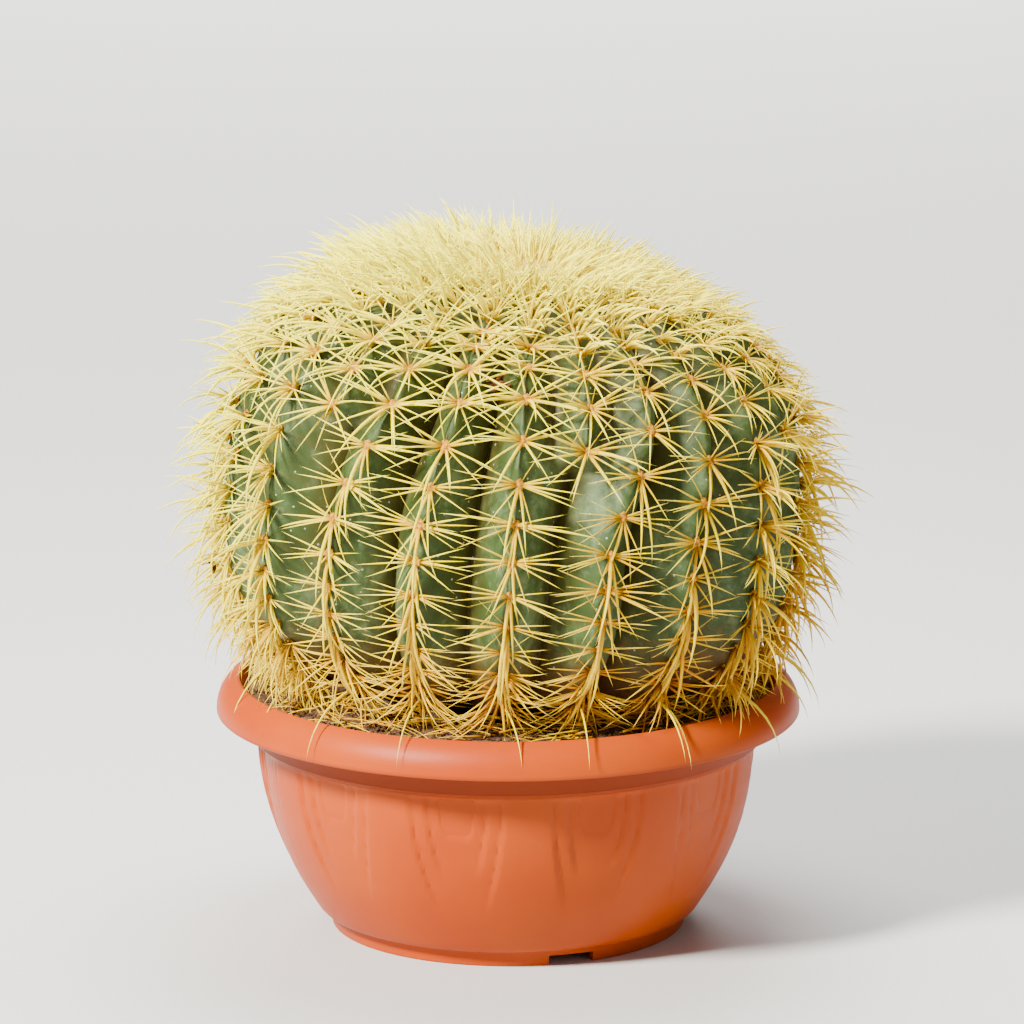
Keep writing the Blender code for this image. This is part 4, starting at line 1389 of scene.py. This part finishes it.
@dataclass(frozen=True)
class SpineCoat:
    """All the spines on the ribs, row by row."""

    zone_levels: tuple = (0.166, 0.212, 0.276, 0.322)
    level_sway: float = 0.009
    summit_radius: float = 84 * MM
    crown_from: float = 0.262
    crown_to: float = 0.31
    limb_span: tuple = (0.55, 0.95)
    limb_border: tuple = (0.64, 0.86)
    limb_lift: float = 0.9
    lee_from: float = 10 * MM
    lee_to: float = 95 * MM
    lee_shrink: float = 0.36
    lee_press: float = 0.1
    age_heights: tuple = (0.15, 0.175, 0.215, 0.28, 0.325)
    age_tones: tuple = (0.84, 0.56, 0.36, 0.22, 0.06)
    # Painted shade: how much browner the spines are on the +X side, away from the key light.
    side_painted_shade: float = 0.3
    areole_tone_spread: float = 0.05
    spine_tone_spread: float = 0.07
    draped_tone: float = 0.36
    first_seed: int = 100

    def zone_of(self, areole: Areole, chance: random.Random) -> Zone:
        """Zone that an areole is in, with a ragged border between zones."""
        level = areole.height + chance.uniform(-self.level_sway, self.level_sway)
        if areole.radius < self.summit_radius:
            return Zone.SUMMIT
        number = sum(level > border for border in self.zone_levels)
        return (Zone.SKIRT, Zone.LOWER, Zone.MIDDLE, Zone.UPPER, Zone.SUMMIT)[number]

    def tone_of(self, areole: Areole) -> float:
        """Age of an areole's spines, from pale and young (0) to brown and old (1), plus painted shade that
        browns the spines on the +X side, away from the key light.
        """
        by_height = float(np.interp(areole.height, self.age_heights, self.age_tones))
        by_radius = float(np.interp(areole.radius, [0.04, 0.12], [-0.1, 0]))
        # Painted shade: spines are browner towards +X, the side turned from the key light.
        by_side = self.side_painted_shade * areole.place.x / GLOBE.radius
        return by_height + by_radius + by_side

    def grow(self, bed: CopyBed, cuts: dict[str, Pattern], areole: Areole, group: SpineGroup, mirrored: bool,
             tone: float, chance: random.Random) -> None:
        """Plant one group of an areole's spines on one side of it."""
        count = chance.randint(*group.count)
        first, last = group.bearing
        high = float(smooth_step(areole.height, self.crown_from, self.crown_to))
        lee = high * float(smooth_step(areole.place.x, self.lee_from, self.lee_to))
        stand_off = (1 - high) * float(smooth_step(abs(math.sin(math.radians(areole.turn))), *self.limb_span))
        for number in range(count):
            share = (number + chance.uniform(0.15, 0.85)) / count
            bearing = first + (last - first) * share
            if mirrored:
                bearing = 180 - bearing
            lift = chance.uniform(*group.lift) * (1 + self.limb_lift * stand_off) * (1 - self.lee_press * lee)
            way = areole.way(bearing, lift)
            back = -areole.out * (1 - group.curl) - areole.up * group.curl
            bend_to = back + areole.side * chance.uniform(-0.35, 0.35) + Vector((0, 0, -0.35))
            cut = chance.choice(group.cuts)
            aside = areole.way(bearing, 0) * chance.uniform(0.6, 1.8) * MM
            root = areole.place + areole.out * 0.6 * MM + aside
            size = chance.uniform(*group.size) * (1 - self.lee_shrink * lee)
            shade = tone + chance.gauss(0, self.spine_tone_spread)
            bed.add(cut, cuts[cut], aimed(root, way, bend_to, size), shade)

    def drape(self, bed: CopyBed, cuts: dict[str, Pattern], areole: Areole, chance: random.Random) -> None:
        """Hang a long spine or two from the lowest areoles out over the pot's rim."""
        for _ in range(chance.choice((1, 1, 2))):
            side = areole.side * chance.uniform(-0.5, 0.5)
            way = around(areole.turn, 1, 0) + side + Vector((0, 0, chance.uniform(-0.05, 0.12)))
            place = areole.place + areole.out * 1 * MM
            spot = aimed(place, way, Vector((0, 0, -1)), chance.uniform(0.85, 1.08))
            bed.add("draped", cuts["draped"], spot, self.draped_tone)

    def build(self, cuts: dict[str, Pattern], horn: bpy.types.Material) -> None:
        """Spine every rib, one piece for each row."""
        for number, row in enumerate(rib_rows()):
            chance = random.Random(self.first_seed + number)
            bed = CopyBed()
            areoles = row.areoles()
            for areole in areoles:
                tone = self.tone_of(areole) + chance.gauss(0, self.areole_tone_spread)
                groups = self.zone_of(areole, chance).value
                if abs(math.sin(math.radians(areole.turn))) > chance.uniform(*self.limb_border):
                    groups += Zone.LIMB.value
                for group in groups:
                    self.grow(bed, cuts, areole, group, False, tone, chance)
                    if group.both_sides:
                        self.grow(bed, cuts, areole, group, True, tone, chance)
            if not row.short:
                self.drape(bed, cuts, areoles[0], chance)
            finish_piece(bed.make(row.name), horn, [row.node])


@dataclass(frozen=True)
class AreolePads:
    """Felted cushions that the spines stand in, one on each areole."""

    width: float = 4.4 * MM
    length: float = 6.4 * MM
    height: float = 2.6 * MM
    seat: float = 0.5 * MM
    size_heights: tuple = (0.15, 0.2, 0.33)
    sizes: tuple = (0.8, 1, 1.1)

    def pad(self) -> Pattern:
        """One cushion, a flattened ball pressed into a bean by its spines."""
        start_object_mode()
        bpy.ops.mesh.primitive_uv_sphere_add(segments=8, ring_count=5, radius=0.5)
        piece = new_piece("pad")
        bpy.ops.object.mode_set(mode="EDIT")
        bpy.ops.mesh.select_all(action="SELECT")
        bpy.ops.transform.resize(value=(self.length, self.width, self.height))
        bpy.ops.transform.vertex_random(offset=0.25 * MM, uniform=0.3, seed=2)
        bpy.ops.object.mode_set(mode="OBJECT")
        return pattern_from(piece)

    def build(self, finish: AreoleFelt) -> None:
        """Seat a cushion on every areole."""
        pad = self.pad()
        chance = random.Random(8)
        bed = CopyBed()
        for row in rib_rows():
            for areole in row.areoles():
                grown = float(np.interp(areole.height, self.size_heights, self.sizes))
                size = chance.uniform(0.85, 1.15) * grown
                place = areole.place + areole.out * self.seat
                bed.add("pad", pad, aimed(place, areole.out, areole.up, size), 0.5)
        finish_piece(bed.make("areole_felt"), finish.make(), [])


@dataclass(frozen=True)
class Crown:
    """Growing point: a woolly cushion in the dimple with a dense tuft of young spines."""

    cushion_radius: float = 38 * MM
    cushion_height: float = 9 * MM
    cushion_sink: float = 2 * MM
    lump_mm: float = 1.6
    lump_grain: float = 8 * MM
    lump_seed: float = 4.0
    spine_count: int = 400
    tuft_radius: float = 46 * MM
    golden_turn: float = 137.5
    upright: float = 0.1
    splay: float = 0.75
    tangle: float = 0.17

    def apex(self) -> Vector:
        """Middle of the crown's dimple, level with the cushion."""
        _, height = GLOBE.crest_at(1.0)
        return LEANED @ Vector((0, 0, float(height) + GLOBE.dimple))

    def build(self, cuts: dict[str, Pattern], wool: CrownWool, horn: bpy.types.Material) -> None:
        """Model and dress the cushion and the tuft."""
        start_object_mode()
        bpy.ops.mesh.primitive_uv_sphere_add(segments=64, ring_count=32, radius=1)
        cushion = new_piece("crown_wool_cushion")
        half_sizes = np.array([self.cushion_radius, self.cushion_radius, self.cushion_height])
        points = mesh_points(cushion) * half_sizes
        lumps = noise_field(points, self.lump_grain, self.lump_seed) * self.lump_mm * MM
        points += lumps[:, None] * np.array([0.3, 0.3, 1])
        middle = self.apex() - LEANED_TURN @ Vector((0, 0, self.cushion_sink))
        set_mesh_points(cushion, points @ np.array(LEANED_TURN).T + np.array(middle))
        cushion.data.shade_smooth()
        finish_piece(cushion, wool.make(), ["crown_spines"])
        self.tuft(cuts, horn)

    def tuft(self, cuts: dict[str, Pattern], horn: bpy.types.Material) -> None:
        """Stand the youngest spines in the wool, upright in the middle and leaning out at the edge."""
        chance = random.Random(55)
        bed = CopyBed()
        middle = self.apex()
        axis = LEANED_TURN @ Vector((0, 0, 1))
        for number in range(self.spine_count):
            share = math.sqrt((number + 0.5) / self.spine_count)
            turn = number * self.golden_turn + chance.uniform(-20, 20)
            outwards = LEANED_TURN @ around(turn, 1, 0)
            root = middle + outwards * share * self.tuft_radius - axis * (1 + 2 * share) * MM
            aside = Vector((chance.gauss(0, self.tangle), chance.gauss(0, self.tangle), 0))
            way = axis + outwards * (self.upright + self.splay * share) + aside
            cut = chance.choice(("radial_curved", "crown_blade", "crown_swept", "crown_blade"))
            size = chance.uniform(0.85, 1.15) if cut.startswith("radial") else chance.uniform(0.56, 0.84)
            tone = 0.03 + abs(chance.gauss(0, 0.12))
            bed.add(cut, cuts[cut], aimed(root, way, outwards + Vector((0, 0, -0.3)), size), tone)
        finish_piece(bed.make("crown_tuft"), horn, [])


# Dried flowers and litter


@dataclass(frozen=True)
class DriedFlower:
    """Withered flower remains: a few curled petals clustered together."""

    name: str
    node: str
    petals: int
    size: float
    seed: int
    spread: float = 1.6
    joints: tuple = ((1.6, 1.5, 20), (1.8, 1.1, 35), (1.6, 0.6, 45), (1.2, 0.35, 40))

    def petal(self) -> Pattern:
        """One curled petal, drawn out of a small disc."""
        start_object_mode()
        bpy.ops.mesh.primitive_circle_add(vertices=6, radius=1.1 * MM, fill_type="NGON")
        piece = new_piece("petal")
        bpy.ops.object.mode_set(mode="EDIT")
        bpy.ops.mesh.select_all(action="SELECT")
        bpy.ops.transform.resize(value=(0.35, 1, 1))
        for length, width, turn in self.joints:
            bpy.ops.mesh.extrude_region_move(TRANSFORM_OT_translate={"value": (0.5 * MM, 0, length * MM)})
            bpy.ops.transform.resize(value=(1, width, 1))
            bpy.ops.transform.rotate(value=-math.radians(turn) / 3, orient_axis="Y")
        bpy.ops.mesh.select_all(action="SELECT")
        bpy.ops.mesh.normals_make_consistent(inside=False)
        bpy.ops.object.mode_set(mode="OBJECT")
        return pattern_from(piece)

    def build(self, material: bpy.types.Material) -> None:
        """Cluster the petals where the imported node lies."""
        low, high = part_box(self.node)
        middle = (Vector(low) + Vector(high)) / 2
        chance = random.Random(self.seed)
        petal = self.petal()
        bed = CopyBed()
        for _ in range(self.petals):
            way = Vector((chance.uniform(-1, 1), chance.uniform(-1, 0.3), chance.uniform(-0.8, 1)))
            place = middle + any_way(chance) * self.spread * MM
            turn = any_way(chance)
            size = self.size * chance.uniform(0.6, 1.1)
            bed.add("petal", petal, aimed(place, way, turn, size), chance.random())
        finish_piece(bed.make(self.name), material, [self.node])


@dataclass(frozen=True)
class FallenSpines:
    """Old spines that lie about on the soil."""

    count: int = 860
    ring: tuple = (106 * MM, 131 * MM)
    lie_mm: tuple = (0.6, 8.5)
    lean: tuple = (-1.6, 0.5)
    tilt: float = 0.16
    tones: tuple = (0.4, 1.0)
    sizes: tuple = (0.5, 1.0)
    choices: tuple = ("radial_straight", "radial_curved", "hair_curved", "hair_curved")

    def build(self, cuts: dict[str, Pattern], soil: PottingSoil, horn: bpy.types.Material) -> None:
        """Scatter the fallen spines over the ring of soil."""
        chance = random.Random(77)
        bed = CopyBed()
        for _ in range(self.count):
            radius = chance.uniform(*self.ring)
            turn = chance.uniform(0, 360)
            level = float(soil.surface_height(radius)) + chance.uniform(*self.lie_mm) * MM
            place = around(turn, radius, level)
            along_rim = around(turn + 90, 1, 0) * chance.choice((-1, 1))
            outwards = around(turn, 1, 0) * chance.uniform(*self.lean)
            way = along_rim + outwards + Vector((0, 0, chance.uniform(-self.tilt, self.tilt)))
            cut = chance.choice(self.choices)
            tone = chance.uniform(*self.tones)
            bed.add(cut, cuts[cut], aimed(place, way, Vector((0, 0, -1)), chance.uniform(*self.sizes)), tone)
        finish_piece(bed.make("fallen_spines"), horn, [])


# Studio


PLANT_MIDDLE = (0.002, 0, 0.2155)


@dataclass(frozen=True)
class Lamp:
    """A soft round area light.

    Fields:
        name: Name of the light.
        place: Where it hangs.
        aim: Point that it faces.
        width: Its width, in metres.
        power: Its power, in watts.
        colour: Its colour as sRGB hex.
    """

    name: str
    place: tuple[float, float, float]
    aim: tuple[float, float, float]
    width: float
    power: float
    colour: str

    def hang(self) -> None:
        """Add the light to the scene."""
        start_object_mode()
        way = Vector(self.aim) - Vector(self.place)
        facing = way.to_track_quat("-Z", "Y").to_euler()
        bpy.ops.object.light_add(type="AREA", location=self.place, rotation=facing)
        lamp = bpy.context.active_object
        lamp.name = self.name
        lamp.data.shape = "DISK"
        lamp.data.size = self.width
        lamp.data.energy = self.power
        lamp.data.color = linear(self.colour)[:3]


LAMPS = (
    Lamp("key", (-2.4, -2.2, 3.0), PLANT_MIDDLE, 0.8, 760, "#fffaf0"),
    Lamp("fill", (2.2, -2.0, 1.2), PLANT_MIDDLE, 1.6, 8, "#fff8f0"),
    Lamp("top", (0.05, 0.3, 1.35), PLANT_MIDDLE, 0.7, 30, "#ffffff"),
    Lamp("backdrop", (0.0, 4.2, 2.6), (0.0, 4.4, 0.0), 3.0, 420, "#ffffff"),
)


@dataclass(frozen=True)
class Studio:
    """Plain pale floor, soft lights and the camera."""

    elevation: float = 13
    distance: float = 4.0
    lens: float = 274.7
    view_end: float = 50
    floor_size: float = 12
    world: float = 0.2

    def build(self) -> None:
        """Set up the floor, the world, the lights and the camera."""
        start_object_mode()
        bpy.ops.mesh.primitive_plane_add(size=self.floor_size)
        floor = new_piece("studio_floor")
        floor.data.materials.append(MattPaper().make())
        world = bpy.data.worlds.new("soft_white")
        world.use_nodes = True
        background = world.node_tree.nodes["Background"]
        background.inputs["Color"].default_value = linear("#ffffff")
        background.inputs["Strength"].default_value = self.world
        bpy.context.scene.world = world
        for lamp in LAMPS:
            lamp.hang()
        start_object_mode()
        angle = math.radians(self.elevation)
        back = Vector((0, -math.cos(angle), math.sin(angle))) * self.distance
        facing = (-back).to_track_quat("-Z", "Y").to_euler()
        bpy.ops.object.camera_add(location=Vector(PLANT_MIDDLE) + back, rotation=facing)
        camera = bpy.context.active_object
        camera.data.lens = self.lens
        camera.data.clip_end = self.view_end
        bpy.context.scene.camera = camera


FLOWERS = (
    DriedFlower("dried_flower_remains_front", "dried_flower_front", 9, 1.0, 31),
    DriedFlower("dried_flower_remains_top", "dried_flower_top", 8, 0.9, 32),
    DriedFlower("dried_flower_remains_left", "dried_flower_left", 9, 1.0, 33),
)


def main() -> None:
    """Build and dress the potted cactus, piece by piece."""
    pot = BowlPot()
    stem = CactusStem()
    soil = PottingSoil()
    horn = SpineHorn().make()
    pot.build(MouldedPolypropylene())
    soil.build(MoistPeat(), pot, stem)
    stem.build(CactusSkin())
    cuts = {cut.name: cut.model() for cut in SPINE_CUTS}
    SpineCoat().build(cuts, horn)
    AreolePads().build(AreoleFelt())
    Crown().build(cuts, CrownWool(), horn)
    petals = DriedPetal().make()
    for flower in FLOWERS:
        flower.build(petals)
    FallenSpines().build(cuts, soil, horn)
    Studio().build()


if __name__ == "__main__":
    main()
